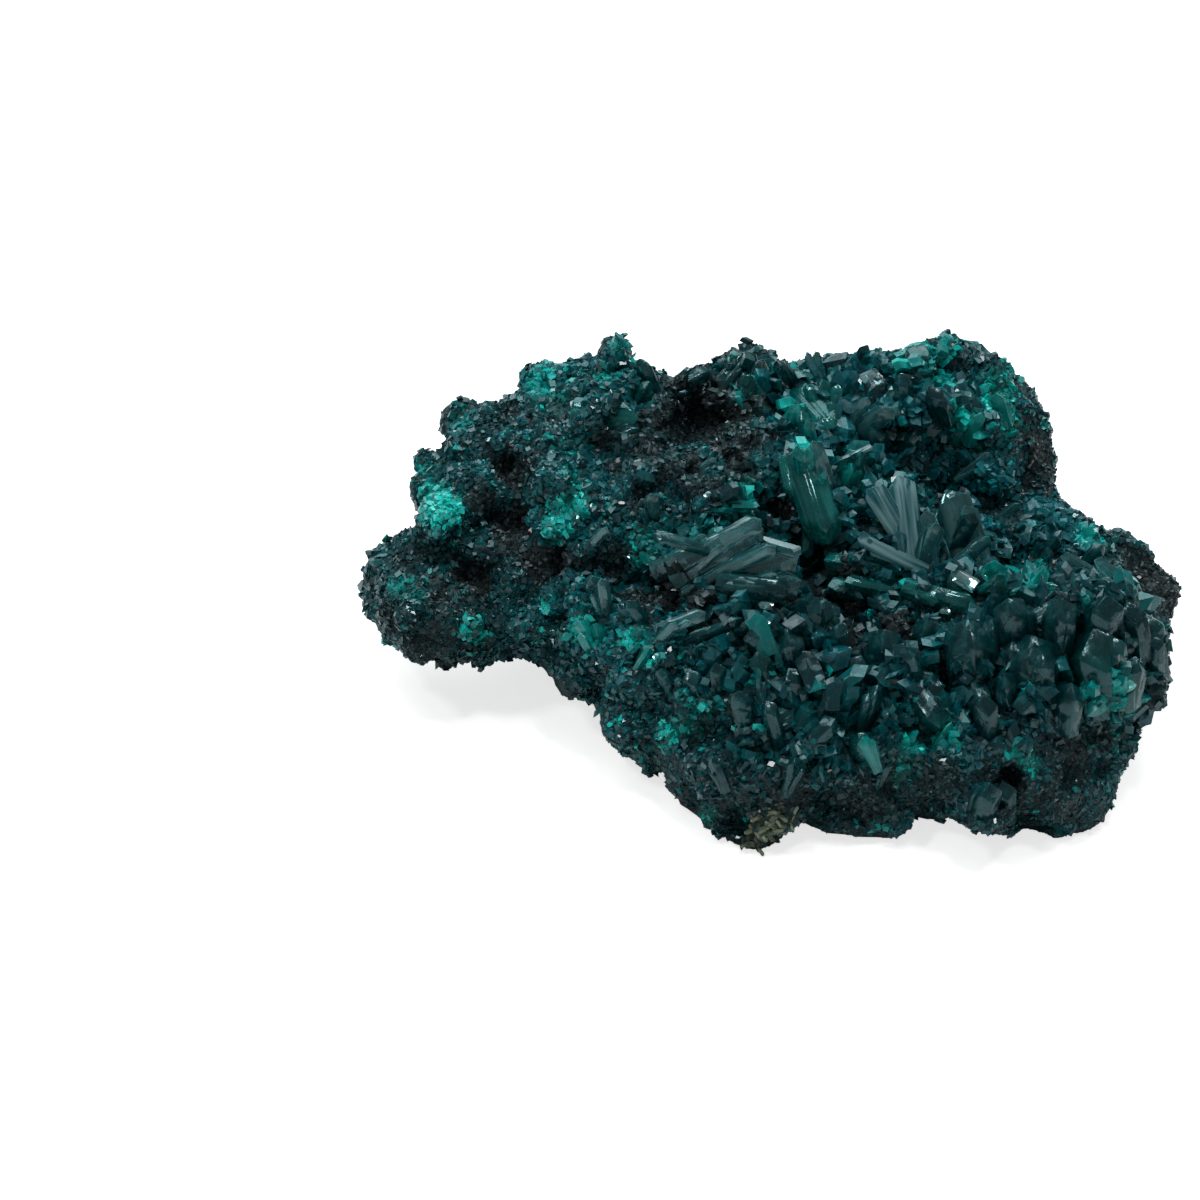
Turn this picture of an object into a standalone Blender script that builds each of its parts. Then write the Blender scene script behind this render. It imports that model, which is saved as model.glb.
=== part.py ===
"""A dioptase specimen: dark matrix rock overgrown by green dioptase crystals.

The specimen is one natural aggregate, so it is one solid. A sheet in the shape of its outline is bent to the
relief that the photograph shows and is given its depth behind. Its surface is roughened, and hexagonal crystals
with flat faces are fused to what they grow from. Metres, +Z up, front towards -Y, origin at the base's middle.
"""

import math
import random

import bmesh
import bpy
import numpy as np
from mathutils import Matrix, Vector
from mathutils.bvhtree import BVHTree

MM = 0.001

# How the photograph sees the specimen. A place on the side that it shows is given by a pixel and a height.
PHOTO_CENTRE_PX = 600
PX_PER_MM = 12.78
CAMERA_ELEVATION = math.radians(35)
CAMERA_DISTANCE = 208.7 * MM
AIM = Vector((-13.65, 0.0, 12.4)) * MM  # the point at the photograph's centre

# Body of the matrix
SHEET_CELL_PX = 5
OUTLINE_INSET_PX = 3  # room for the bumps and crystals that stand proud of the sheet
EDGE_ROUNDING = 5.0 * MM
EDGE_SETBACK = 1.75 * MM  # how far the edge lies behind the relief
EDGE_THICKNESS = 3.2 * MM
MOST_THICKNESS = 22 * MM
LEAST_THICKNESS = 0.1 * MM
SIGHT_STEP = 0.4 * MM
SIGHT_STEPS = 90
JOIN_VOXEL = 0.45 * MM
RELAX_STEPS = 4
MATRIX_TRIANGLES = 4300
BLEND_POWER = 3
NEVER_ZERO = 1e-9
BUMPS = ((8.0 * MM, 2.8 * MM), (4.0 * MM, 1.7 * MM), (2.0 * MM, 1.2 * MM))  # size and height

BASE_MIDDLE = Vector((0.3, 3.0, 0.0)) * MM  # moved to the origin when the solid is finished

# Crystals: six-sided prisms that end in three rhombic faces
HIGH_CORNER_DROP = 0.617  # how far three of the end's corners lie below the tip, in radii of the prism
LOW_CORNER_DROP = 1.233  # and the three between them
CRYSTAL_ROOT = 1.4 * MM  # how deep a crystal goes into what it grows from
SCATTERED = 74
SCATTERED_WIDTH = (1.3 * MM, 2.7 * MM)
SCATTERED_LENGTH = (1.1 * MM, 2.2 * MM)
SCATTERED_LEAN = 0.5
SCATTERED_WITHIN = (30 * MM, 19 * MM)  # how far to either side, and how far back
SCATTER_MIDDLE = Vector((0, 2, 10)) * MM  # they are aimed at places around here, from a shell around it
SCATTER_SPREAD = Vector((18, 8, 4)) * MM
SCATTER_SHELL = Vector((60, 40, 40)) * MM
SCATTER_TURN = math.pi * (3 - math.sqrt(5))
LOWEST_AIM = -0.35  # how far below level the shell reaches, where straight down is -1
LEAST_UPWARD = -0.3  # no crystals where the surface faces down more than this

# Outline of the specimen in the photograph (pixels), clockwise from the tip at the left
OUTLINE = (
    (366, 596), (372, 572), (385, 553), (400, 547), (402, 530), (411, 508), (410, 480), (416, 456), (437, 448),
    (442, 424), (456, 408), (500, 404), (512, 390), (524, 373), (546, 363), (572, 367), (600, 358), (606, 346),
    (620, 335), (632, 353), (648, 361), (662, 372), (678, 384), (698, 368), (706, 374), (724, 362), (736, 352),
    (772, 349), (778, 356), (792, 352), (852, 351), (878, 343), (897, 349), (912, 341), (935, 337), (962, 344),
    (974, 357), (1002, 368), (1024, 378), (1036, 392), (1043, 408), (1052, 430), (1056, 450), (1052, 478),
    (1048, 503), (1074, 515), (1077, 525), (1106, 529), (1128, 537), (1148, 550), (1168, 568), (1183, 594),
    (1166, 620), (1166, 660), (1165, 676), (1142, 712), (1140, 722), (1130, 762), (1108, 786), (1100, 806),
    (1086, 833), (1064, 841), (1038, 844), (1008, 841), (985, 832), (940, 822), (922, 822), (870, 834),
    (800, 822), (788, 842), (764, 862), (730, 848), (706, 838), (688, 824), (679, 806), (662, 777), (650, 772),
    (620, 728), (600, 697), (582, 697), (570, 688), (545, 660), (530, 660), (515, 653), (500, 654), (490, 665),
    (450, 673), (430, 666), (414, 658), (386, 648), (378, 636),
)

# The relief: pixel across, pixel down, height above the ground (mm)
RELIEF = (
    # left lobe
    (372, 598, 9.0), (400, 575, 11.0), (412, 600, 10.4), (385, 640, 6.8), (430, 575, 11.0), (440, 615, 9.8),
    (440, 645, 7.4), (450, 672, 4.6), (476, 590, 8.6), (471, 618, 10.0), (490, 650, 6.4), (520, 612, 10.2),
    # left side, up to its edge behind
    (405, 520, 13.5), (415, 470, 15.5), (443, 510, 15.2), (450, 430, 17.5), (480, 412, 18.5), (470, 475, 16.6),
    (511, 471, 15.4), (505, 440, 18.2), (518, 533, 12.6), (480, 540, 13.2), (530, 390, 20.0), (575, 375, 21.2),
    (545, 430, 19.0), (555, 480, 18.4), (560, 525, 17.0), (600, 358, 23.0), (620, 340, 24.4), (610, 385, 22.4),
    (600, 415, 21.2), (600, 455, 18.6), (600, 500, 17.2), (600, 540, 15.2), (650, 372, 23.0), (660, 400, 20.8),
    # trough between the left side and the lower front
    (563, 566, 11.6), (520, 570, 12.0), (630, 585, 11.6), (672, 592, 11.2), (595, 592, 12.8),
    # front edge at the lower left
    (545, 655, 6.2), (560, 625, 9.6), (597, 694, 4.5), (600, 640, 10.0), (640, 622, 12.2), (648, 768, 2.2),
    (650, 665, 10.0), (650, 710, 7.0), (690, 820, 1.0), (700, 745, 6.4), (700, 685, 10.2), (700, 640, 12.2),
    # front foot and the slope above it
    (768, 858, 0.4), (735, 835, 1.2), (770, 815, 3.2), (770, 770, 6.6), (770, 715, 9.8), (770, 665, 12.0),
    (770, 628, 13.6), (820, 815, 2.2), (825, 760, 6.8), (830, 700, 10.2), (820, 650, 12.2),
    # ridge across the middle, and the vug behind it
    (650, 548, 15.8), (700, 560, 15.6), (750, 540, 17.2), (760, 565, 16.2), (765, 595, 13.8), (650, 505, 17.4),
    (720, 512, 18.2), (740, 490, 19.4), (645, 440, 20.8), (655, 466, 20.8), (690, 480, 20.0), (716, 482, 20.0),
    (742, 466, 20.8), (764, 430, 21.2), (660, 412, 20.8), (676, 396, 21.4), (716, 390, 21.8), (738, 396, 21.6),
    (682, 440, 17.4), (700, 424, 16.6), (722, 428, 17.0), (702, 456, 17.6), (736, 440, 18.2), (668, 428, 18.4),
    (698, 370, 22.0),
    # upper right lobe
    (748, 365, 22.4), (755, 400, 21.4), (800, 370, 22.6), (800, 420, 21.6), (800, 470, 20.0), (812, 505, 18.4),
    (855, 360, 23.2), (850, 410, 21.2), (845, 460, 19.4), (850, 515, 16.6), (900, 355, 23.6), (900, 405, 21.8),
    (890, 450, 19.0), (935, 345, 24.2), (940, 395, 22.2), (985, 375, 22.2), (985, 410, 21.0), (945, 455, 17.6),
    (1030, 400, 19.8), (1030, 440, 18.2), (1052, 455, 15.8), (1000, 465, 17.4), (1045, 492, 14.4),
    (950, 500, 14.2), (1000, 515, 13.4), (905, 520, 14.4),
    # cavity and crevice in the middle
    (775, 508, 15.6), (800, 540, 12.6), (830, 575, 10.0), (842, 602, 8.4), (880, 612, 9.0), (860, 635, 10.4),
    # ledge that carries the fan, saddle and right wing
    (875, 572, 13.2), (925, 590, 13.6), (905, 560, 14.0), (965, 590, 13.8), (960, 550, 13.6), (1005, 565, 13.4),
    (1040, 550, 13.2), (1040, 515, 13.8), (1080, 545, 12.4), (1110, 560, 12.2), (1150, 580, 10.4),
    (1180, 595, 9.4), (1155, 608, 9.0),
    # lower right lobe
    (1000, 605, 15.4), (1060, 600, 16.2), (1120, 605, 15.6), (970, 634, 13.8), (1034, 645, 14.0),
    (1096, 645, 14.2), (1150, 640, 12.6), (1163, 665, 10.6), (925, 645, 10.6), (935, 680, 8.0),
    (905, 672, 11.4), (890, 720, 9.4),
    (981, 700, 11.0), (1050, 695, 11.2), (1110, 695, 9.6), (1135, 725, 6.8), (860, 745, 7.8), (930, 745, 8.6),
    (1000, 745, 9.0), (1060, 745, 8.4), (900, 790, 4.6), (870, 828, 1.8), (925, 820, 2.2), (1000, 795, 4.8),
    (1060, 795, 4.6), (1040, 840, 0.6), (1120, 775, 4.0), (1088, 828, 1.0),
)

# The crystals that stand out: root across and down (pixels) and height (mm), the same of the tip, width (mm)
CRYSTALS = (
    # fan of blades and rods in the middle
    (916, 557, 14.0, 872, 486, 19.6, 2.0),
    (901, 549, 14.3, 899, 475, 19.9, 1.8),
    (968, 556, 13.6, 946, 488, 18.4, 3.4),
    (912, 564, 14.0, 857, 538, 16.6, 1.4),
    (930, 560, 13.8, 925, 510, 17.4, 1.5),
    (886, 571, 13.6, 823, 560, 15.2, 1.7),
    (886, 594, 12.4, 827, 586, 13.8, 1.6),
    (922, 592, 13.4, 978, 606, 14.2, 1.9),
    (962, 594, 13.4, 952, 570, 15.6, 1.7),
    (992, 594, 13.4, 982, 566, 16.0, 1.1),
    (1004, 600, 14.0, 996, 574, 16.6, 1.3),
    (1010, 592, 13.8, 1062, 582, 15.2, 1.2),
    # rounded prism beside the cavity, and what stands around it
    (804, 470, 19.2, 830, 548, 15.4, 4.2),
    (838, 480, 17.6, 862, 452, 20.8, 1.9),
    (856, 488, 17.0, 838, 470, 19.6, 1.5),
    (822, 415, 20.8, 806, 384, 23.2, 1.2),
    (828, 412, 20.8, 822, 379, 23.6, 1.1),
    (832, 418, 20.6, 838, 384, 23.2, 1.1),
    (796, 388, 21.8, 838, 434, 20.8, 2.4),
    # blocks along the upper edge
    (682, 384, 21.4, 710, 370, 22.8, 1.5),
    (745, 394, 21.2, 764, 358, 23.6, 2.0),
    (733, 374, 22.0, 754, 352, 23.6, 1.9),
    (868, 400, 21.2, 876, 366, 23.8, 3.2),
    (916, 372, 22.4, 924, 342, 24.6, 2.6),
    (590, 426, 20.0, 632, 408, 22.0, 2.2),
    (612, 366, 22.4, 621, 337, 24.9, 2.6),
    # stout prisms on the lower right lobe
    (972, 670, 11.2, 968, 616, 15.6, 4.6),
    (1036, 692, 10.8, 1032, 633, 15.4, 4.2),
    (1100, 692, 10.2, 1094, 626, 15.8, 4.8),
    (1152, 664, 10.6, 1146, 612, 14.8, 2.8),
    (905, 672, 11.2, 942, 730, 9.6, 2.5),
    (972, 678, 11.2, 984, 718, 10.4, 2.3),
    (884, 664, 10.6, 884, 628, 14.0, 3.0),
    (932, 658, 9.8, 926, 620, 14.0, 2.8),
    (1056, 700, 10.6, 1012, 706, 11.6, 1.8),
    # stubby crystals on the front
    (792, 662, 11.6, 786, 627, 14.8, 2.6),
    (814, 682, 10.8, 802, 650, 13.4, 2.1),
    (800, 696, 10.2, 788, 667, 12.6, 1.9),
    (768, 684, 10.6, 756, 651, 13.6, 2.1),
    (764, 656, 12.0, 751, 628, 14.8, 1.9),
    (796, 758, 7.2, 836, 718, 10.8, 1.7),
    (866, 762, 6.6, 858, 732, 9.6, 2.1),
    (836, 708, 9.6, 824, 680, 12.4, 1.9),
    (700, 700, 9.0, 688, 668, 11.8, 1.8),
    (640, 670, 9.6, 654, 645, 12.0, 1.6),
    # laths and bundles of the middle ridge
    (688, 574, 14.4, 764, 528, 18.6, 1.5),
    (700, 588, 13.6, 770, 545, 17.6, 1.4),
    (668, 566, 14.6, 730, 536, 18.0, 1.4),
    (738, 572, 15.0, 800, 556, 17.4, 2.7),
    (745, 594, 13.8, 802, 580, 16.0, 2.3),
    (690, 594, 12.4, 742, 578, 15.4, 1.6),
    (596, 608, 11.2, 592, 575, 14.8, 2.0),
    (656, 522, 16.2, 650, 493, 19.2, 1.5),
    (592, 546, 15.0, 607, 527, 17.0, 0.9),
)

# The side that the photograph doesn't show (mm): heights of the underside at places across and deep,
# and how deep the back reaches at places across and high
UNDERSIDE = (
    (-30, 4, 5.0), (-23, 12, 6.0), (-18, 4, 3.6), (-11.5, 9, -1.2), (-6, -4, 1.8), (-3, 5, 2.4),
    (0, -14, -0.6), (5, -4, 2.2), (6, 5, 2.4), (0, 15, 4.5), (12, -9, 1.8), (20, -14, -0.6),
    (26, -6, 2.6), (28, 3, 4.6), (14, 10, -1.2), (20, 4, 2.6), (22, 14, 4.5), (7, 14, 3.5),
)
BACKSIDE = (
    (-30, 10, 11.0), (-24, 18, 17.6), (-20, 8, 16.0), (-14, 21, 19.2), (-12, 12, 20.0), (-11, 4, 18.0),
    (-4, 18, 20.6), (-2, 8, 18.6), (3, 22, 19.6), (6, 13, 20.8), (8, 4, 18.4), (13, 22, 20.0), (15, 12, 20.2),
    (16, 4, 18.6), (21, 17, 19.4), (23, 8, 17.0), (30, 9, 9.5),
)


def camera_axes():
    """The photograph's right, up and towards-the-camera directions."""
    right = Vector((1, 0, 0))
    back = Vector((0, -math.cos(CAMERA_ELEVATION), math.sin(CAMERA_ELEVATION)))
    return right, back.cross(right), back


def rays(pixels):
    """The camera's place and the unit directions in which it sees an array of pixels."""
    right, up, back = (np.array(axis) for axis in camera_axes())
    across, down = ((pixels - PHOTO_CENTRE_PX) / (PX_PER_MM * CAMERA_DISTANCE / MM)).T
    directions = across[:, None] * right - down[:, None] * up - back
    directions /= np.linalg.norm(directions, axis=1)[:, None]
    return np.array(AIM) + back * CAMERA_DISTANCE, directions


def at_height(pixels, heights):
    """The points that the photograph shows at pixels, if they lie at these heights."""
    eye, directions = rays(pixels)
    return eye + directions * ((heights - eye[2]) / directions[:, 2])[:, None]


def blend(places, marks, values):
    """Values at places between marks, where a nearer mark counts for more."""
    distance = np.linalg.norm(places[:, None, :] - marks[None, :, :], axis=2)
    weights = 1 / (distance ** BLEND_POWER + NEVER_ZERO)
    return weights @ values / weights.sum(axis=1)


def outline_distance(pixels):
    """How far pixels lie inside the outline (pixels), below zero outside it."""
    starts = np.array(OUTLINE, float)
    ends = np.roll(starts, -1, axis=0)
    along = ends - starts
    offset = pixels[:, None, :] - starts
    share = np.clip((offset * along).sum(axis=2) / (along ** 2).sum(axis=1), 0, 1)
    distance = np.linalg.norm(offset - share[..., None] * along, axis=2).min(axis=1)
    x, y = pixels[:, :1], pixels[:, 1:]
    spans = (starts[:, 1] > y) != (ends[:, 1] > y)
    with np.errstate(divide="ignore", invalid="ignore"):
        crossing = starts[:, 0] + (y - starts[:, 1]) * along[:, 0] / along[:, 1]
    inside = (spans & (x < crossing)).sum(axis=1) % 2 == 1
    return np.where(inside, distance, -distance)


def depth_behind(points, directions):
    """How far the body reaches behind the visible surface, along the lines of sight."""
    underside = np.array(UNDERSIDE, float) * MM
    backside = np.array(BACKSIDE, float) * MM
    depth = np.zeros(len(points))
    inside = np.ones(len(points), bool)
    for _ in range(SIGHT_STEPS):
        place = points + directions * (depth + SIGHT_STEP)[:, None]
        floor = blend(place[:, :2], underside[:, :2], underside[:, 2])
        back = blend(place[:, ::2], backside[:, :2], backside[:, 2])
        inside &= (place[:, 2] > floor) & (place[:, 1] < back)
        depth += SIGHT_STEP * inside
    return depth


def relief_sheet():
    """A closed solid: the outline's shape, bent to the relief in front and given its depth behind."""
    corners = np.array(OUTLINE, float)
    low, high = corners.min(axis=0), corners.max(axis=0)
    cells = np.ceil((high - low) / SHEET_CELL_PX).astype(int) + 1
    bm = bmesh.new()
    bmesh.ops.create_grid(bm, x_segments=int(cells[0]), y_segments=int(cells[1]), size=0.5)
    bmesh.ops.scale(bm, vec=(*(cells * SHEET_CELL_PX), 1), verts=bm.verts)
    bmesh.ops.translate(bm, vec=(*((low + high) / 2), 0), verts=bm.verts)
    for face in bm.faces:
        face.normal_update()
    centres = np.array([face.calc_center_median()[:2] for face in bm.faces])
    outside = [face for face, inner in zip(bm.faces, outline_distance(centres))
               if inner < OUTLINE_INSET_PX]
    bmesh.ops.delete(bm, geom=outside, context="FACES")

    front = list(bm.verts)
    pixels = np.array([vert.co[:2] for vert in front])
    relief = np.array(RELIEF, float)
    points = at_height(pixels, blend(pixels, relief[:, :2], relief[:, 2] * MM))
    directions = rays(pixels)[1]
    inner = np.clip(outline_distance(pixels) / PX_PER_MM * MM / EDGE_ROUNDING, 0, 1)
    rounding = np.sqrt(1 - (1 - inner) ** 2)
    points += directions * (EDGE_SETBACK * (1 - rounding))[:, None]
    depth = np.minimum(depth_behind(points, directions), MOST_THICKNESS * rounding)
    depth = np.maximum(depth, EDGE_THICKNESS * rounding) + LEAST_THICKNESS

    extruded = bmesh.ops.extrude_face_region(bm, geom=list(bm.faces))["geom"]
    behind = [item for item in extruded if isinstance(item, bmesh.types.BMVert)]
    order = {tuple(vert.co): index for index, vert in enumerate(front)}
    for vert in behind:
        index = order[tuple(vert.co)]
        vert.co = points[index] + directions[index] * depth[index]
    for vert, point in zip(front, points):
        vert.co = point
    bmesh.ops.recalc_face_normals(bm, faces=bm.faces)
    return bm


def object_of(name, bm):
    mesh = bpy.data.meshes.new(name)
    bm.to_mesh(mesh)
    bm.free()
    obj = bpy.data.objects.new(name, mesh)
    bpy.context.collection.objects.link(obj)
    return obj


def apply_modifiers(obj):
    """Bakes an object's modifiers into its own mesh."""
    graph = bpy.context.evaluated_depsgraph_get()
    done = bpy.data.meshes.new_from_object(obj.evaluated_get(graph))
    obj.modifiers.clear()
    obj.data = done
    return obj


def voxel_join(obj):
    """Makes one closed skin of all that an object holds."""
    join = obj.modifiers.new("join", "REMESH")
    join.mode = "VOXEL"
    join.voxel_size = JOIN_VOXEL
    return apply_modifiers(obj)


def boolean(obj, bm, operation):
    """Joins the shape in a bmesh to an object, or cuts it away."""
    other = object_of("other", bm)
    change = obj.modifiers.new("change", "BOOLEAN")
    change.operation = operation
    change.solver = "EXACT"
    change.use_self = True
    change.object = other
    apply_modifiers(obj)
    bpy.data.objects.remove(other)


def matrix_body():
    """The rock under the crystals, roughened by bumps of several sizes."""
    body = voxel_join(object_of("dioptase_specimen", relief_sheet()))
    for size, height in BUMPS:
        pattern = bpy.data.textures.new("bumps", "CLOUDS")
        pattern.noise_scale = size
        bumps = body.modifiers.new("bumps", "DISPLACE")
        bumps.texture = pattern
        bumps.strength = height
    voxel_join(body)
    relax = body.modifiers.new("relax", "SMOOTH")
    relax.iterations = RELAX_STEPS
    fewer = body.modifiers.new("fewer", "DECIMATE")
    fewer.ratio = MATRIX_TRIANGLES / (2 * len(body.data.polygons))
    return apply_modifiers(body)


def crystal(bm, root, tip, width, twist=0.0):
    """Adds a six-sided prism that ends in three rhombic faces. Its root goes on into what it grows from."""
    axis = (tip - root).normalized()
    radius = width / 2
    length = (tip - root).length + CRYSTAL_ROOT
    turn = axis.to_track_quat("Z", "Y").to_matrix().to_4x4() @ Matrix.Rotation(twist, 4, "Z")
    place = Matrix.Translation(tip - axis * length / 2) @ turn
    prism = bmesh.ops.create_cone(
        bm, cap_ends=True, segments=6, radius1=radius, radius2=radius, depth=length, matrix=place)["verts"]
    faces = {face for vert in prism for face in vert.link_faces}
    end = max(faces, key=lambda face: face.calc_center_median().dot(axis))
    for number, corner in enumerate(end.verts):
        drop = HIGH_CORNER_DROP if number % 2 else LOW_CORNER_DROP
        corner.co -= axis * drop * radius
    point = bmesh.ops.poke(bm, faces=[end])["verts"][0]
    point.co = tip


def add_crystals(body):
    """Fuses the crystals to the matrix: the listed ones, and others scattered wherever it can be seen."""
    bm = bmesh.new()
    marks = np.array(CRYSTALS, float)
    roots = at_height(marks[:, :2], marks[:, 2] * MM)
    tips = at_height(marks[:, 3:5], marks[:, 5] * MM)
    for number, (root, tip, width) in enumerate(zip(roots, tips, marks[:, 6] * MM)):
        crystal(bm, Vector(root), Vector(tip), width, number)

    chance = random.Random(7)
    surface = BVHTree.FromObject(body, bpy.context.evaluated_depsgraph_get())
    for number in range(SCATTERED):
        height = 1 - (1 - LOWEST_AIM) * (number + 0.5) / SCATTERED
        level = math.sqrt(1 - height * height)
        around = number * SCATTER_TURN
        outward = Vector((level * math.cos(around), level * math.sin(around), height))
        start = SCATTER_MIDDLE + outward * SCATTER_SHELL
        target = SCATTER_MIDDLE + Vector([chance.uniform(-reach, reach) for reach in SCATTER_SPREAD])
        seat, normal, _, _ = surface.ray_cast(start, (target - start).normalized())
        lean = Vector([chance.uniform(-SCATTERED_LEAN, SCATTERED_LEAN) for _ in range(3)])
        width = chance.uniform(*SCATTERED_WIDTH)
        length = chance.uniform(*SCATTERED_LENGTH)
        if seat is None or normal.z < LEAST_UPWARD:
            continue
        if abs(seat.x) < SCATTERED_WITHIN[0] and seat.y < SCATTERED_WITHIN[1]:
            crystal(bm, seat, seat + (normal + lean).normalized() * length, width, number)
    boolean(body, bm, "UNION")


def cut_flat(body):
    """Cuts the feet flat where they stand on the ground."""
    bm = bmesh.new()
    size = 100 * MM
    bmesh.ops.create_cube(bm, size=size, matrix=Matrix.Translation((0, 0, -size / 2)))
    boolean(body, bm, "DIFFERENCE")


def drop_crumbs(body):
    """Removes what the cuts left loose, and keeps the one large body."""
    bm = bmesh.new()
    bm.from_mesh(body.data)
    left = set(bm.verts)
    pieces = []
    while left:
        reached = {left.pop()}
        border = set(reached)
        while border:
            border = {edge.other_vert(vert) for vert in border for edge in vert.link_edges} - reached
            reached |= border
        left -= reached
        pieces.append(reached)
    largest = max(pieces, key=len)
    crumbs = [vert for vert in bm.verts if vert not in largest]
    bmesh.ops.delete(bm, geom=crumbs, context="VERTS")
    bm.to_mesh(body.data)
    bm.free()


def dioptase_green():
    material = bpy.data.materials.new("dark_dioptase")
    material.use_nodes = True
    shader = material.node_tree.nodes["Principled BSDF"]
    shader.inputs["Base Color"].default_value = (0.010, 0.042, 0.045, 1)
    shader.inputs["Roughness"].default_value = 0.22
    shader.inputs["Metallic"].default_value = 0.0
    return material


def main():
    for obj in list(bpy.data.objects):
        bpy.data.objects.remove(obj)
    body = matrix_body()
    add_crystals(body)
    cut_flat(body)
    drop_crumbs(body)
    body.data.transform(Matrix.Translation(-BASE_MIDDLE))
    body.data.materials.clear()
    body.data.materials.append(dioptase_green())


main()
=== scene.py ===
# Looks of the dioptase specimen: a dark matrix, overgrown by fine druse and larger clear green crystals
import math

import bpy
import numpy as np
from mathutils import Matrix, Vector
from mathutils.bvhtree import BVHTree
from mathutils.kdtree import KDTree


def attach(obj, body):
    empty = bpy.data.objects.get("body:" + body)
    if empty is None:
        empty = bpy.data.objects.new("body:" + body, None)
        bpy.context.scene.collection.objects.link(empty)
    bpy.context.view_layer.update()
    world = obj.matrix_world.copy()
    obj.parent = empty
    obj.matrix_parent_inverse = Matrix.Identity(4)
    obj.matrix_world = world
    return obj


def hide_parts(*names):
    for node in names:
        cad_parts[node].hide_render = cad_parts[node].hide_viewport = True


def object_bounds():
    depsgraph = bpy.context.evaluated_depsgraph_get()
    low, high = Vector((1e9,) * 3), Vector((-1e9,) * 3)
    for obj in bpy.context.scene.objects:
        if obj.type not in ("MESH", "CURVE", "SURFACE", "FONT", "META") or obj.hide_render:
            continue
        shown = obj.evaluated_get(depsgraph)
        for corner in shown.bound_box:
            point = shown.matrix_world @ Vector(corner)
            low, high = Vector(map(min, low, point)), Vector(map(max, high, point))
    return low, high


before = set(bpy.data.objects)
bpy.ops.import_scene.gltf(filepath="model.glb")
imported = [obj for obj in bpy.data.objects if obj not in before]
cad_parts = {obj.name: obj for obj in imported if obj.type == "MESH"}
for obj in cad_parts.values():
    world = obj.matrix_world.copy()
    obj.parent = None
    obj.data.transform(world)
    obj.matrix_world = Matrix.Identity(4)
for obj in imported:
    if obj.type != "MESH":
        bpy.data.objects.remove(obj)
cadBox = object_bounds()
mm = 0.001

# the photograph's camera; a place on the specimen can be given by the pixel where it shows
photo = {
    "elevation": math.radians(35),
    "distance": 208.7 * mm,
    "aim": Vector((-13.95, -3.0, 12.4)) * mm,
    "middle": 600,
    "pixelsPerMm": 12.78,
    "lens": 80,
    "sensor": 36,
}
backwards = Vector((0, -math.cos(photo["elevation"]), math.sin(photo["elevation"])))
upwards = backwards.cross(Vector((1, 0, 0)))
eye = photo["aim"] + backwards * photo["distance"]
studio = {
    "floorSize": 6.0,
    "floorGlow": 0.72,
    "lights": {
        "softBox": {"place": (-0.12, 0.40, 0.62), "size": 0.75, "watts": 4.4, "colour": (0.88, 1.0, 1.02)},
        "sparkleLeft": {"place": (-0.36, -0.12, 0.58), "size": 0.1, "watts": 0.6, "colour": (1, 1, 1)},
        "sparkleMiddle": {"place": (0.10, -0.05, 0.70), "size": 0.1, "watts": 0.6, "colour": (1, 1, 1)},
        "sparkleRight": {"place": (0.34, 0.24, 0.56), "size": 0.1, "watts": 0.6, "colour": (1, 1, 1)},
    },
    "lit": (0, 0, 0.01),
    "world": 0.16,
}


def sightLine(across, down):
    scale = photo["pixelsPerMm"] * photo["distance"] / mm
    right = Vector((1, 0, 0)) * (across - photo["middle"]) / scale
    return (right - upwards * (down - photo["middle"]) / scale - backwards).normalized()


def placeAt(across, down, height):
    line = sightLine(across, down)
    return eye + line * ((height * mm - eye.z) / line.z)


def pointValues(mesh, name, kind, field, values):
    attribute = mesh.attributes.get(name) or mesh.attributes.new(name, kind, "POINT")
    attribute.data.foreach_set(field, values.ravel().astype(np.float32))


def setMode(mode):
    bpy.ops.object.mode_set(mode=mode)


def deselectAll():
    if bpy.context.object and bpy.context.object.mode != "OBJECT":
        setMode("OBJECT")
    bpy.ops.object.select_all(action="DESELECT")


def makeActive(obj):
    deselectAll()
    obj.select_set(True)
    bpy.context.view_layer.objects.active = obj


def applyModifiers(obj):
    makeActive(obj)
    for modifier in list(obj.modifiers):
        bpy.ops.object.modifier_apply(modifier=modifier.name)


def linkNew(name, mesh):
    obj = bpy.data.objects.new(name, mesh)
    bpy.context.scene.collection.objects.link(obj)
    return obj


def meshArrays(mesh):
    points = np.zeros(len(mesh.vertices) * 3)
    mesh.vertices.foreach_get("co", points)
    return points.reshape(-1, 3)


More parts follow.
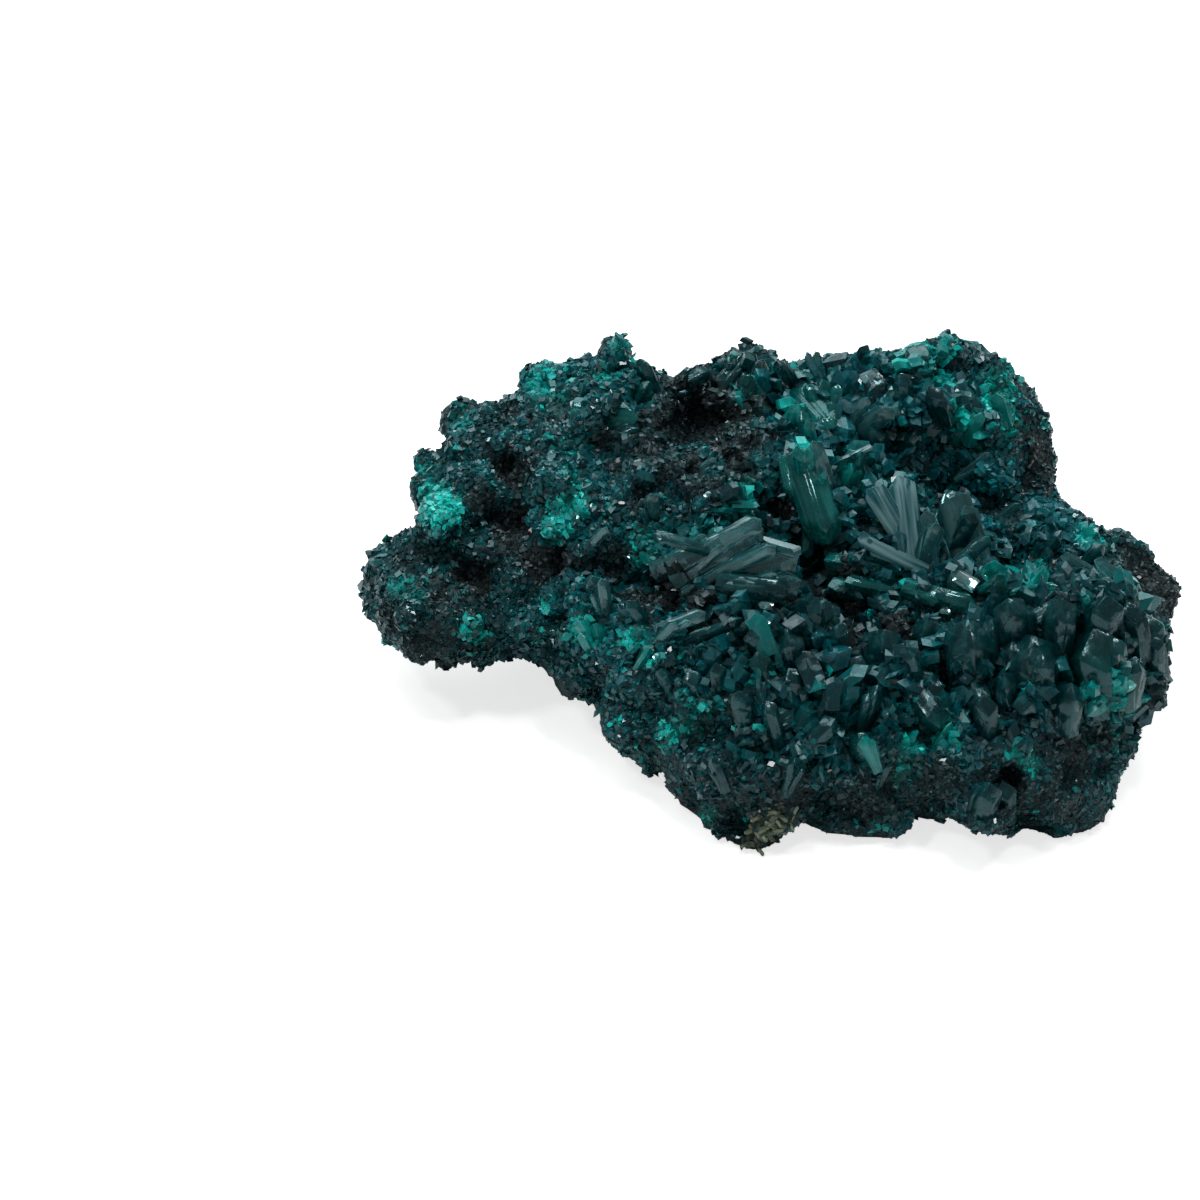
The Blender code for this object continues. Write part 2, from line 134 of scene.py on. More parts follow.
# what the photograph shows where: pixel across, pixel down, radius in pixels, strength
growthMarks = {
    # bright green
    "green": (
        (443, 511, 26, 1.0), (430, 492, 14, 0.8), (471, 629, 22, 0.9), (412, 595, 18, 0.35),
        (405, 585, 12, 0.4), (558, 525, 17, 0.9), (556, 545, 12, 1.0), (572, 505, 16, 0.7),
        (570, 480, 16, 0.5), (605, 380, 15, 0.9), (541, 384, 26, 0.45), (572, 446, 16, 0.4),
        (743, 488, 13, 0.9), (732, 511, 14, 0.7), (583, 631, 18, 0.9), (592, 640, 12, 0.7),
        (546, 606, 9, 0.8), (647, 657, 13, 1.0), (632, 640, 14, 0.8), (684, 394, 7, 1.0),
        (746, 382, 9, 0.9), (752, 398, 22, 0.6), (619, 345, 16, 0.4), (670, 732, 16, 1.0),
        (688, 724, 14, 0.8), (620, 720, 8, 0.8), (707, 811, 12, 0.7), (878, 825, 8, 0.8),
        (940, 730, 17, 0.9), (912, 744, 14, 0.8), (900, 775, 9, 0.9), (955, 738, 14, 0.7),
        (925, 349, 24, 0.6), (950, 350, 16, 0.6), (995, 400, 26, 0.95), (975, 425, 18, 1.0),
        (1000, 380, 24, 0.6), (945, 383, 12, 0.9), (1018, 426, 13, 0.8), (970, 435, 6, 1.0),
        (1110, 688, 28, 0.5), (1130, 705, 20, 0.45), (1085, 665, 16, 0.35), (1030, 765, 16, 0.6),
        (1012, 750, 12, 0.7), (1115, 735, 9, 0.8), (1085, 602, 7, 1.0), (1045, 425, 8, 0.8),
        (801, 420, 13, 0.9), (806, 454, 13, 1.0), (820, 478, 8, 1.0), (846, 479, 12, 1.0),
        (832, 372, 6, 1.0), (833, 362, 5, 1.0), (850, 413, 12, 0.7), (905, 362, 8, 0.8),
        (1070, 520, 9, 0.8), (1095, 545, 14, 0.5), (1040, 568, 9, 0.8), (1000, 578, 10, 0.8),
        (1030, 585, 14, 0.7), (700, 710, 24, 0.35), (770, 660, 22, 0.35), (865, 742, 14, 0.5),
        (820, 690, 12, 0.5), (640, 545, 22, 0.4), (700, 535, 20, 0.35), (595, 560, 10, 0.3),
        (1160, 625, 9, 0.5), (1130, 590, 16, 0.35), (745, 575, 22, 0.3), (560, 400, 16, 0.35),
        (640, 395, 16, 0.5), (460, 420, 18, 0.3), (425, 470, 20, 0.3), (735, 430, 10, 0.3),
        (480, 640, 9, 0.6), (535, 640, 8, 0.7), (985, 800, 10, 0.3),
    ),
    # black rock, and painted shade in the vug, in the crevices and low on the front
    "darkRockAndShade": (
        (700, 420, 62, 0.8), (690, 405, 40, 0.85), (730, 440, 34, 0.8), (662, 425, 26, 0.8),
        (511, 471, 34, 0.8), (518, 533, 36, 0.9), (480, 500, 22, 0.7), (540, 560, 26, 0.9),
        (476, 589, 30, 1.0), (440, 600, 14, 0.7), (563, 564, 26, 1.0), (610, 560, 28, 0.8),
        (672, 589, 30, 1.0), (640, 600, 24, 0.8), (700, 600, 26, 0.8), (667, 466, 20, 0.6),
        (700, 490, 22, 0.7), (510, 420, 24, 0.6), (560, 415, 20, 0.5), (780, 515, 26, 1.0),
        (800, 545, 18, 1.0), (830, 590, 28, 1.0), (870, 610, 30, 1.0), (900, 640, 26, 1.0),
        (940, 665, 26, 0.8), (775, 600, 24, 0.8), (1040, 450, 26, 0.9), (1030, 480, 24, 0.7),
        (950, 495, 26, 0.6), (1000, 515, 32, 0.7), (960, 520, 22, 0.8), (1150, 585, 34, 0.95),
        (1130, 560, 22, 0.7), (1165, 600, 24, 0.9), (1100, 735, 32, 0.6), (1060, 750, 30, 0.6),
        (1000, 785, 40, 0.7), (1060, 800, 44, 0.5), (940, 790, 30, 0.6), (450, 660, 24, 0.8),
        (425, 650, 22, 0.6), (870, 800, 34, 0.6), (790, 800, 24, 0.6), (890, 440, 22, 0.3),
        (930, 430, 22, 0.4), (850, 640, 20, 0.8), (720, 620, 24, 0.7), (410, 560, 20, 0.5),
        (396, 618, 24, 0.5), (440, 636, 20, 0.5), (770, 440, 18, 0.6), (905, 470, 20, 0.4),
        (650, 450, 26, 0.9), (690, 470, 30, 0.8), (740, 470, 22, 0.7), (640, 420, 18, 0.6),
        (760, 412, 20, 0.8), (700, 385, 14, 0.6), (610, 445, 18, 0.5), (620, 472, 18, 0.5),
        (640, 502, 24, 0.5),
    ),
    # pale crust
    "pale": (
        (774, 820, 13, 1.0), (752, 842, 10, 0.9), (766, 832, 10, 0.9), (780, 812, 9, 0.8),
        (789, 824, 8, 1.0), (760, 820, 8, 0.8),
    ),
    # how coarse and how light the druse is: size and lightness in place of strength
    "coarse": (
        (440, 610, 60, 0.5, 0.22), (450, 500, 50, 0.55, 0.6), (460, 440, 40, 0.55, 0.65),
        (520, 430, 50, 0.55, 0.8), (560, 385, 36, 0.7, 1.25), (620, 370, 40, 0.8, 0.8),
        (600, 420, 30, 0.7, 0.65), (700, 420, 60, 0.5, 0.6), (660, 480, 50, 0.6, 0.75),
        (560, 500, 40, 0.6, 0.95), (590, 470, 30, 0.6, 0.85), (600, 620, 50, 0.7, 0.9),
        (560, 660, 50, 0.5, 0.6), (650, 655, 35, 0.55, 1.2), (620, 710, 50, 0.5, 0.65),
        (700, 660, 40, 0.95, 0.9), (760, 655, 40, 1.5, 0.95), (830, 680, 50, 1.7, 0.75),
        (760, 730, 45, 0.9, 0.65), (690, 750, 55, 0.5, 0.6), (760, 800, 50, 0.5, 0.5),
        (850, 790, 50, 0.5, 0.6), (850, 740, 30, 1.1, 0.8), (930, 790, 50, 0.6, 0.8),
        (940, 735, 30, 0.7, 1.1), (1020, 790, 60, 0.45, 1.2), (1080, 760, 50, 0.45, 1.3),
        (980, 700, 40, 1.7, 0.7), (1060, 650, 60, 2.0, 0.65), (1120, 660, 50, 1.5, 0.48),
        (1110, 700, 30, 0.8, 0.45), (1150, 590, 40, 0.5, 0.75), (1060, 570, 40, 0.8, 0.8),
        (1000, 500, 50, 0.8, 1.6), (930, 430, 50, 1.1, 1.35), (880, 370, 50, 1.1, 1.5),
        (940, 370, 30, 0.75, 1.0), (990, 400, 36, 0.7, 0.75), (1040, 450, 40, 0.5, 0.9),
        (760, 370, 40, 1.4, 0.95), (840, 400, 40, 1.6, 1.3), (720, 560, 40, 1.2, 0.85),
        (900, 520, 50, 1.1, 1.0), (870, 610, 40, 0.9, 0.6),
    ),
    # kept free of small prisms
    "open": (
        (892, 520, 30, 1.0), (905, 548, 20, 1.0), (950, 520, 30, 1.0), (960, 545, 24, 1.0),
        (815, 520, 34, 1.0), (850, 566, 30, 1.0), (952, 600, 26, 1.0), (725, 545, 36, 1.0),
        (765, 565, 32, 1.0), (715, 590, 24, 1.0), (815, 410, 24, 1.0), (600, 592, 20, 0.9),
        (650, 505, 16, 1.0), (775, 600, 24, 0.8), (918, 705, 24, 1.0), (970, 640, 30, 0.9),
        (1034, 655, 34, 0.9), (1096, 655, 34, 0.9), (1070, 610, 34, 0.8), (1030, 610, 30, 0.8),
        (1150, 708, 20, 1.0), (1140, 722, 16, 1.0),
    ),
}

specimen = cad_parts["dioptase_specimen"]
skin = BVHTree.FromObject(specimen, bpy.context.evaluated_depsgraph_get())


def marksOnSkin(marks):
    found = []
    for across, down, radius, *values in marks:
        seat = skin.ray_cast(eye, sightLine(across, down))[0]
        if seat is not None:
            found.append((*seat, radius / photo["pixelsPerMm"] * mm, *values))
    return np.array(found)


marks = {kind: marksOnSkin(rows) for kind, rows in growthMarks.items()}
print("growth marks found:", {kind: len(rows) for kind, rows in marks.items()})


# how the marks spread over the surface
spread = {
    "depthShare": 0.5, "depthLess": 2 * mm,  # a patch reaches further along the line of sight
    "reach": 1.25, "fade": 0.5, "openReach": 1.3,  # by the mark's radius
    "weightBetween": 0.15, "sizeBetween": 0.9, "lightnessBetween": 0.75,  # the druse between the marks
    "seed": 3, "ragged": 0.15, "lightnessByGreen": (0.7, 0.5),  # on the crust and the larger crystals
}


def distancesTo(points, seat):
    offset = points - seat
    depth = np.abs(offset @ np.array(backwards))
    lessDepth = np.maximum(depth * spread["depthShare"], depth - spread["depthLess"])
    return np.sqrt(np.maximum((offset**2).sum(axis=1) - depth**2 + lessDepth**2, 0))


def growthAt(points, chance, ragged=0.3, warp=1.0):
    # how green, black and pale the growth is at each point, with ragged edges; the black is rock and partly
    # painted shade
    result = []
    for kind in ("green", "darkRockAndShade", "pale"):
        value = np.zeros(len(points))
        for *seat, radius, strength in marks[kind]:
            distance = distancesTo(points, seat) / radius
            distance *= chance.uniform(1 - ragged, 1 + ragged, len(points)) * warp
            fade = np.clip((spread["reach"] - distance) / spread["fade"], 0, 1)
            value = np.maximum(value, strength * fade * fade * (3 - 2 * fade))
        result.append(value)
    return np.array(result).T


def opennessAt(points):
    value = np.ones(len(points))
    for *seat, radius, strength in marks["open"]:
        value *= 1 - strength * np.clip(spread["openReach"] - distancesTo(points, seat) / radius, 0, 1)
    return value


def coarsenessAt(points):
    # size and lightness of the druse at each point
    total = np.full(len(points), spread["weightBetween"])
    size = total * spread["sizeBetween"]
    lightness = total * spread["lightnessBetween"]
    for *seat, radius, markSize, markLightness in marks["coarse"]:
        share = np.exp(-((distancesTo(points, seat) / radius) ** 2))
        total += share
        size += share * markSize
        lightness += share * markLightness
    return size / total, lightness / total


# large crystals, in the places that the solid gives them
# root across and down (pixels) and height (mm), the same of the tip, width (mm)
largeCrystals = {
    "fanBlades": {
        "companions": 2, "flatness": 0.3, "form": "sharp", "finish": "bladeCrystal", "lift": 1.2,
        "rows": (
            (912, 552, 14.0, 872, 486, 19.6, 1.9), (909, 556, 14.0, 898, 474, 19.9, 2.6),
            (912, 564, 14.0, 857, 538, 16.6, 1.1),
        ),
    },
    "fanTablets": {
        "companions": 2, "flatness": 0.3, "form": "sharp", "finish": "paleCrystal", "lift": 1.2,
        "rows": (
            (968, 556, 13.6, 946, 488, 18.4, 3.4), (930, 560, 13.8, 925, 510, 17.4, 1.5),
            (962, 594, 13.4, 952, 570, 15.6, 1.7), (992, 594, 13.4, 982, 566, 16.0, 1.1),
            (1004, 600, 14.0, 996, 574, 16.6, 1.3),
        ),
    },
    "greenRods": {
        "companions": 3, "flatness": 1.0, "form": "sharp", "finish": "greenCrystal",
        "rows": (
            (886, 571, 13.6, 823, 560, 15.2, 1.7), (886, 594, 12.4, 827, 586, 13.8, 1.6),
            (922, 592, 13.4, 978, 606, 14.2, 1.9), (1010, 592, 13.8, 1062, 582, 15.2, 1.2),
            (838, 480, 17.6, 862, 452, 20.8, 1.9), (856, 488, 17.0, 838, 470, 19.6, 1.5),
            (822, 415, 20.8, 806, 384, 23.2, 1.2), (828, 412, 20.8, 822, 379, 23.6, 1.1),
            (832, 418, 20.6, 838, 384, 23.2, 1.1),
        ),
    },
    "roundedPrism": {
        "companions": 1, "flatness": 1.0, "form": "rounded", "finish": "greenCrystal", "lift": 0.8,
        "rows": ((804, 470, 19.2, 830, 548, 15.4, 3.6),),
    },
    "greenLeaves": {
        "companions": 0, "flatness": 0.4, "form": "rounded", "finish": "greenCrystal", "lift": 0.5,
        "rows": ((588, 413, 20.5, 641, 419, 20.9, 2.6), (798, 388, 21.8, 836, 430, 20.8, 2.6)),
    },
    "edgeBlocks": {
        "companions": 2, "flatness": 1.0, "form": "worn", "finish": "smokyCrystal",
        "rows": (
            (682, 384, 21.4, 710, 370, 22.8, 1.5), (745, 394, 21.2, 764, 358, 23.6, 2.0),
            (733, 374, 22.0, 754, 352, 23.6, 1.9), (868, 400, 21.2, 876, 366, 23.8, 3.2),
            (916, 372, 22.4, 924, 342, 24.6, 2.6),
        ),
    },
    "stoutPrisms": {
        "companions": 3, "flatness": 1.0, "form": "worn", "finish": "smokyCrystal",
        "rows": (
            (972, 670, 11.2, 968, 616, 15.6, 4.6), (1036, 692, 10.8, 1032, 633, 15.4, 4.2),
            (1100, 692, 10.2, 1094, 626, 15.8, 4.8), (1152, 664, 10.6, 1146, 612, 14.8, 2.8),
            (905, 672, 11.2, 942, 730, 9.6, 2.5), (972, 678, 11.2, 984, 718, 10.4, 2.3),
            (884, 664, 10.6, 884, 628, 14.0, 3.0), (932, 658, 9.8, 926, 620, 14.0, 2.8),
            (1056, 700, 10.6, 1012, 706, 11.6, 1.8),
        ),
    },
    "stubbyPrisms": {
        "companions": 1, "flatness": 1.0, "form": "worn", "finish": "smokyCrystal",
        "rows": (
            (792, 662, 11.6, 786, 627, 14.8, 2.6), (814, 682, 10.8, 802, 650, 13.4, 2.1),
            (800, 696, 10.2, 788, 667, 12.6, 1.9), (768, 684, 10.6, 756, 651, 13.6, 2.1),
            (764, 656, 12.0, 751, 628, 14.8, 1.9), (796, 758, 7.2, 836, 718, 10.8, 1.7),
            (866, 762, 6.6, 858, 732, 9.6, 2.1), (836, 708, 9.6, 824, 680, 12.4, 1.9),
            (700, 700, 9.0, 688, 668, 11.8, 1.8), (640, 670, 9.6, 654, 645, 12.0, 1.6),
        ),
    },
    "ridgeLaths": {
        "companions": 1, "flatness": 0.5, "form": "sharp", "finish": "paleCrystal", "lift": 0.3,
        "rows": (
            (688, 574, 14.4, 764, 528, 18.6, 2.1), (700, 588, 13.6, 770, 545, 17.6, 1.9),
            (668, 566, 14.6, 730, 536, 18.0, 1.8), (738, 572, 15.0, 800, 556, 17.4, 2.7),
            (745, 594, 13.8, 802, 580, 16.0, 2.3), (690, 594, 12.4, 742, 578, 15.4, 1.6),
            (596, 608, 11.2, 592, 575, 14.8, 2.0), (656, 522, 16.2, 650, 493, 19.2, 1.5),
            (592, 546, 15.0, 607, 527, 17.0, 0.9),
        ),
    },
}
# medium crystals, which stand on the surface that the photograph shows
# root across and down (pixels), the same of the tip, rise towards the camera (mm), width (mm), flatness
mediumCrystals = {
    "palePlates": {
        "finish": "paleCrystal", "form": "sharp", "companions": 1,
        "rows": (
            (876, 556, 845, 540, 1.5, 0.9, 0.4), (886, 552, 858, 534, 1.6, 0.9, 0.4),
            (912, 502, 938, 506, 2.6, 0.4, 0.8), (918, 514, 956, 512, 2.6, 0.4, 0.8),
            (924, 562, 936, 522, 1.8, 1.7, 0.35), (960, 562, 990, 536, 1.4, 1.2, 0.4),
            (1008, 550, 962, 512, 2.4, 0.5, 0.6), (694, 558, 762, 519, 2.4, 1.7, 0.4),
            (730, 568, 776, 546, 2.2, 1.3, 0.5), (774, 546, 802, 554, 1.8, 1.2, 0.6),
            (690, 604, 722, 591, 1.4, 1.5, 0.5), (606, 612, 601, 578, 1.8, 1.2, 0.5),
            (647, 523, 641, 508, 1.2, 0.8, 0.7), (818, 379, 806, 353, 0.8, 0.7, 0.5),
            (823, 379, 815, 351, 0.8, 0.7, 0.5), (827, 377, 827, 353, 0.8, 0.7, 0.5),
            (860, 430, 894, 407, 1.6, 1.7, 0.35), (850, 422, 868, 397, 1.4, 1.1, 0.4),
            (925, 442, 905, 422, 1.5, 0.6, 0.5), (931, 446, 918, 420, 1.5, 0.5, 0.5),
            (866, 488, 857, 453, 1.8, 0.9, 0.6), (857, 453, 838, 461, 1.2, 0.8, 0.6),
            (824, 476, 812, 440, 1.2, 1.5, 0.5), (930, 730, 948, 708, 1.5, 1.0, 0.5),
            (968, 470, 990, 452, 1.2, 0.8, 0.5), (1000, 520, 1020, 503, 1.2, 1.0, 0.4),
            (700, 470, 716, 458, 1.0, 0.7, 0.5), (1085, 570, 1060, 556, 1.2, 1.2, 0.5),
            (1120, 580, 1094, 560, 1.2, 1.2, 0.5), (625, 575, 642, 559, 1.4, 1.2, 0.6),
            (1030, 620, 1060, 604, 1.2, 1.2, 0.4), (660, 640, 676, 622, 1.2, 1.0, 0.5),
            (672, 626, 706, 612, 1.2, 1.2, 0.5), (720, 640, 752, 622, 1.0, 1.2, 0.5),
        ),
    },
    "greenPlates": {
        "finish": "brightCrystal", "form": "sharp", "companions": 2,
        "rows": (
            (792, 426, 799, 404, 1.4, 1.5, 0.8), (806, 434, 801, 411, 1.4, 1.4, 0.8),
            (812, 442, 806, 421, 1.2, 1.1, 0.8), (800, 468, 797, 445, 1.4, 1.6, 0.8),
            (811, 467, 808, 447, 1.4, 1.5, 0.8), (842, 487, 852, 463, 1.6, 1.5, 0.7),
            (851, 489, 858, 470, 1.4, 1.2, 0.7), (822, 485, 824, 472, 1.0, 0.8, 0.8),
            (832, 370, 834, 357, 0.8, 0.9, 0.8), (830, 382, 831, 367, 0.8, 0.6, 0.8),
            (590, 643, 580, 621, 1.4, 1.6, 0.8), (599, 641, 596, 623, 1.2, 1.2, 0.8),
            (1039, 579, 1041, 562, 1.0, 0.9, 0.8), (992, 583, 1004, 575, 0.8, 0.7, 0.8),
            (1085, 607, 1088, 597, 0.8, 0.8, 0.8), (872, 757, 862, 737, 1.4, 1.3, 0.7),
            (744, 500, 740, 482, 1.2, 0.9, 0.7), (736, 520, 732, 504, 1.2, 0.9, 0.7),
            (1015, 592, 1058, 586, 1.4, 1.0, 0.6), (975, 431, 982, 412, 1.0, 1.3, 0.8),
            (1002, 412, 996, 392, 1.0, 1.4, 0.8), (640, 664, 650, 648, 1.2, 1.0, 0.7),
            (652, 670, 664, 656, 1.2, 0.9, 0.7), (940, 741, 952, 722, 1.2, 1.2, 0.7),
        ),
    },
    "darkPrisms": {
        "finish": "smokyCrystal", "form": "worn", "companions": 2,
        "rows": (
            (880, 448, 870, 426, 1.6, 2.2, 0.7), (905, 452, 915, 430, 1.4, 1.8, 0.7),
            (735, 586, 790, 592, 1.8, 2.2, 0.7), (986, 724, 985, 693, 1.8, 2.4, 0.8),
            (918, 676, 908, 650, 1.8, 1.3, 0.7), (690, 632, 716, 606, 1.4, 1.6, 0.6),
            (700, 640, 746, 618, 1.4, 1.6, 0.6), (640, 620, 626, 600, 1.4, 1.5, 0.7),
            (700, 548, 652, 534, 1.4, 1.5, 0.7), (850, 690, 862, 655, 1.8, 2.0, 0.7),
            (868, 716, 878, 684, 1.8, 2.0, 0.7), (745, 720, 738, 690, 1.6, 1.8, 0.8),
            (775, 730, 766, 700, 1.6, 1.8, 0.8), (720, 690, 716, 662, 1.4, 1.5, 0.8),
            (835, 650, 842, 622, 1.6, 1.6, 0.8), (760, 395, 742, 372, 1.2, 1.6, 0.7),
            (790, 380, 776, 360, 1.0, 1.4, 0.7), (905, 398, 900, 372, 1.2, 2.0, 0.7),
            (940, 410, 930, 386, 1.2, 1.8, 0.7), (860, 360, 868, 344, 0.8, 1.4, 0.7),
            (648, 378, 640, 358, 0.8, 1.2, 0.8), (640, 400, 650, 380, 1.0, 1.6, 0.8),
            (610, 440, 640, 428, 1.2, 1.4, 0.7), (560, 452, 574, 440, 1.0, 1.2, 0.8),
            (960, 540, 975, 512, 1.4, 1.6, 0.6), (880, 780, 892, 758, 1.2, 1.2, 0.8),
            (1090, 560, 1104, 544, 0.7, 1.4, 0.7), (1048, 548, 1062, 530, 0.7, 1.4, 0.7),
            (984, 806, 990, 782, 1.6, 2.4, 0.9), (1004, 804, 1003, 780, 1.6, 2.2, 0.9),
            (994, 796, 984, 772, 1.6, 2.0, 0.9), (670, 690, 660, 668, 1.4, 1.3, 0.8),
            (790, 780, 796, 756, 1.2, 1.2, 0.8), (720, 776, 712, 756, 1.0, 1.1, 0.8),
        ),
    },
    "paleFoot": {
        "finish": "footCrystal", "form": "worn", "companions": 3,
        "rows": (
            (768, 814, 778, 812, 0.3, 0.4, 0.5), (780, 816, 788, 822, 0.3, 0.35, 0.5),
            (790, 824, 794, 832, 0.3, 0.3, 0.5), (772, 826, 764, 822, 0.3, 0.4, 0.5),
            (758, 818, 750, 822, 0.3, 0.3, 0.5), (752, 830, 744, 834, 0.3, 0.35, 0.5),
            (762, 836, 768, 842, 0.3, 0.4, 0.5), (748, 842, 740, 848, 0.3, 0.3, 0.5),
            (758, 848, 764, 856, 0.3, 0.3, 0.5), (776, 820, 782, 828, 0.3, 0.3, 0.5),
            (766, 828, 758, 834, 0.3, 0.3, 0.5), (774, 832, 784, 830, 0.3, 0.3, 0.5),
            (794, 814, 798, 806, 0.3, 0.3, 0.5),
        ),
    },
    "glintPlates": {
        "finish": "glintCrystal", "form": "sharp", "companions": 0, "mirror": True,
        "rows": (
            (962, 586, 952, 572, 0.9, 1.3, 0.4), (984, 582, 981, 566, 0.9, 0.7, 0.4),
            (890, 441, 883, 431, 0.8, 0.7, 0.4), (768, 611, 758, 604, 0.8, 0.7, 0.5),
            (848, 655, 851, 647, 0.8, 0.5, 0.5), (945, 616, 939, 611, 0.8, 0.5, 0.5),
            (654, 662, 660, 654, 0.7, 0.4, 0.5), (706, 500, 711, 492, 0.7, 0.4, 0.5),
            (764, 626, 762, 620, 0.7, 0.4, 0.5), (816, 640, 820, 632, 0.7, 0.5, 0.5),
            (950, 500, 956, 492, 0.7, 0.5, 0.5), (630, 560, 634, 553, 0.6, 0.4, 0.5),
        ),
    },
    "smoothFaces": {
        "finish": "smokyCrystal", "form": "worn", "companions": 2,
        "rows": (
            (1016, 632, 1008, 597, 1.8, 3.0, 0.8), (1060, 630, 1063, 597, 1.8, 3.2, 0.8),
            (1102, 628, 1107, 594, 1.8, 3.2, 0.8), (1136, 642, 1128, 600, 1.8, 3.0, 0.8),
            (1130, 690, 1136, 655, 1.4, 2.4, 0.8), (1066, 716, 1072, 682, 1.6, 2.6, 0.8),
            (1010, 700, 1004, 672, 1.6, 2.2, 0.8), (945, 690, 950, 660, 1.4, 2.0, 0.8),
        ),
    },
}
crystalForm = {
    "depth": 3, "highCorner": 0.617, "lowCorner": 1.233, "rootLevel": -2.4,  # by the radius
    "root": 1.4 * mm,  # how far it reaches into the crust
    "flat": 0.6,  # one that is flatter turns a face to the camera
    "smooth": math.radians(26),  # edges under this angle are smooth
    "edges": {"plain": (0, 1), "sharp": (0.07, 1), "worn": (0.14, 2), "rounded": (0.24, 3)},  # width, rows
}


def makeCrystalShape(edges):
    # a six-sided prism of radius 1 with its tip at the origin; three rhombic faces end it
    deselectAll()
    depth = crystalForm["depth"]
    bpy.ops.mesh.primitive_cylinder_add(vertices=6, radius=1, depth=depth, location=(0, 0, -depth / 2))
    shape = bpy.context.object
    bpy.ops.object.transform_apply(location=True)
    setMode("EDIT")
    bpy.ops.mesh.select_all(action="DESELECT")
    setMode("OBJECT")
    for face in shape.data.polygons:
        face.select = face.normal.z > 0.9
    setMode("EDIT")
    bpy.ops.mesh.poke()
    setMode("OBJECT")
    for drop, first in ((crystalForm["lowCorner"], 0), (crystalForm["highCorner"], 1)):
        for vert in shape.data.vertices:
            corner = round(math.atan2(vert.co.x, vert.co.y) / math.radians(60)) % 2
            vert.select = vert.co.z > -0.1 and vert.co.xy.length > 0.5 and corner == first
        for item in (*shape.data.edges, *shape.data.polygons):
            item.select = False
        setMode("EDIT")
        bpy.ops.transform.translate(value=(0, 0, -drop))
        bpy.ops.mesh.select_all(action="DESELECT")
        setMode("OBJECT")
    setMode("EDIT")
    bpy.ops.mesh.select_all(action="SELECT")
    bpy.ops.mesh.dissolve_limited(angle_limit=math.radians(1))
    setMode("OBJECT")
    width, rows = edges
    if width:
        bevel = shape.modifiers.new("edges", "BEVEL")
        bevel.width = width
        bevel.segments = rows
        applyModifiers(shape)
        bpy.ops.object.shade_smooth_by_angle(angle=crystalForm["smooth"])
    return shape


crystalShapes = {form: makeCrystalShape(edges) for form, edges in crystalForm["edges"].items()}
prismPoints = meshArrays(crystalShapes["plain"].data)
prismFaces = [tuple(face.vertices) for face in crystalShapes["plain"].data.polygons]


def makeGrainShape():
    # a grain with six rhombic faces, its tip at the origin: a cube stood on its corner
    deselectAll()
    bpy.ops.mesh.primitive_cube_add(size=1)
    grain = bpy.context.object
    setMode("EDIT")
    middle = {"center_override": (0, 0, 0)}
    bpy.ops.transform.rotate(value=math.radians(45), orient_axis="Z", **middle)
    bpy.ops.transform.rotate(value=math.atan(math.sqrt(2)), orient_axis="X", **middle)
    setMode("OBJECT")
    return grain


grainShape = makeGrainShape()
grainPoints = meshArrays(grainShape.data)
grainFaces = [tuple(face.vertices) for face in grainShape.data.polygons]
grainPoints -= (0, 0, grainPoints[:, 2].max())
grainPoints[:, :2] /= np.linalg.norm(grainPoints[:, :2], axis=1).max()
grainPoints[:, 2] *= crystalForm["depth"] * crystalForm["highCorner"] / -grainPoints[:, 2].min()
bpy.data.objects.remove(grainShape)


def turnTo(axis, twist):
    # the broad side turns to the camera before the twist
    broad = axis.cross(backwards).normalized()
    turned = Matrix((broad, axis.cross(broad), axis)).transposed()
    return turned.to_4x4() @ Matrix.Rotation(twist, 4, "Z")


def largeCrystal(root, tip, radius, twist, flatness, form, name):
    # a copy of the shape, stretched from the root to the tip
    axis = (tip - root).normalized()
    mesh = crystalShapes[form].data.copy()
    points = meshArrays(mesh)
    low = points[:, 2] < crystalForm["rootLevel"]
    if flatness < crystalForm["flat"]:
        points = points @ np.array(Matrix.Rotation(math.radians(30), 3, "Z"))
    points *= (radius, radius * flatness, radius)
    points[low, 2] += crystalForm["depth"] * radius - (tip - root).length
    mesh.vertices.foreach_set("co", points.ravel())
    pointValues(mesh, "crystalPlace", "FLOAT_VECTOR", "vector", points + twist * mm)
    mesh.transform(Matrix.Translation(tip) @ turnTo(axis, twist))
    return linkNew(name, mesh)


def joinAll(objects, name):
    deselectAll()
    for obj in objects:
        obj.select_set(True)
    bpy.context.view_layer.objects.active = objects[0]
    bpy.ops.object.join()
    joined = bpy.context.object
    joined.name = name
    joined.data.name = name
    return joined


pieces = {}
blockers = []  # tip, axis, length and radius of each placed crystal


def lifted(place, rise):
    # nearer to the camera, at the same pixel
    return place + (eye - place).normalized() * rise * mm


# the smaller crystals beside each placed one
bunch = {
    "mainTwist": 1.7, "turn": 2.4, "turnSpread": 0.4, "twist": 0.2, "lean": 0.06, "rootOffset": 0.8,
    "offset": (0.5, 0.85), "share": (0.5, 0.92), "size": (0.4, 0.7), "glintLength": 3.4, "seed": 5,
}
chance = np.random.default_rng(bunch["seed"])


def facingLight(axis, tip, radius):
    # the root, axis and twist with which the broad side sends the light to the camera
    light = Vector(studio["lights"]["sparkleMiddle"]["place"])
    mirror = ((light - tip).normalized() + (eye - tip).normalized()).normalized()
    root = tip - (axis - mirror * axis.dot(mirror)).normalized() * radius * bunch["glintLength"]
    axis = (tip - root).normalized()
    broad = axis.cross(backwards).normalized()
    return root, axis, math.atan2(-mirror.dot(broad), mirror.dot(axis.cross(broad)))


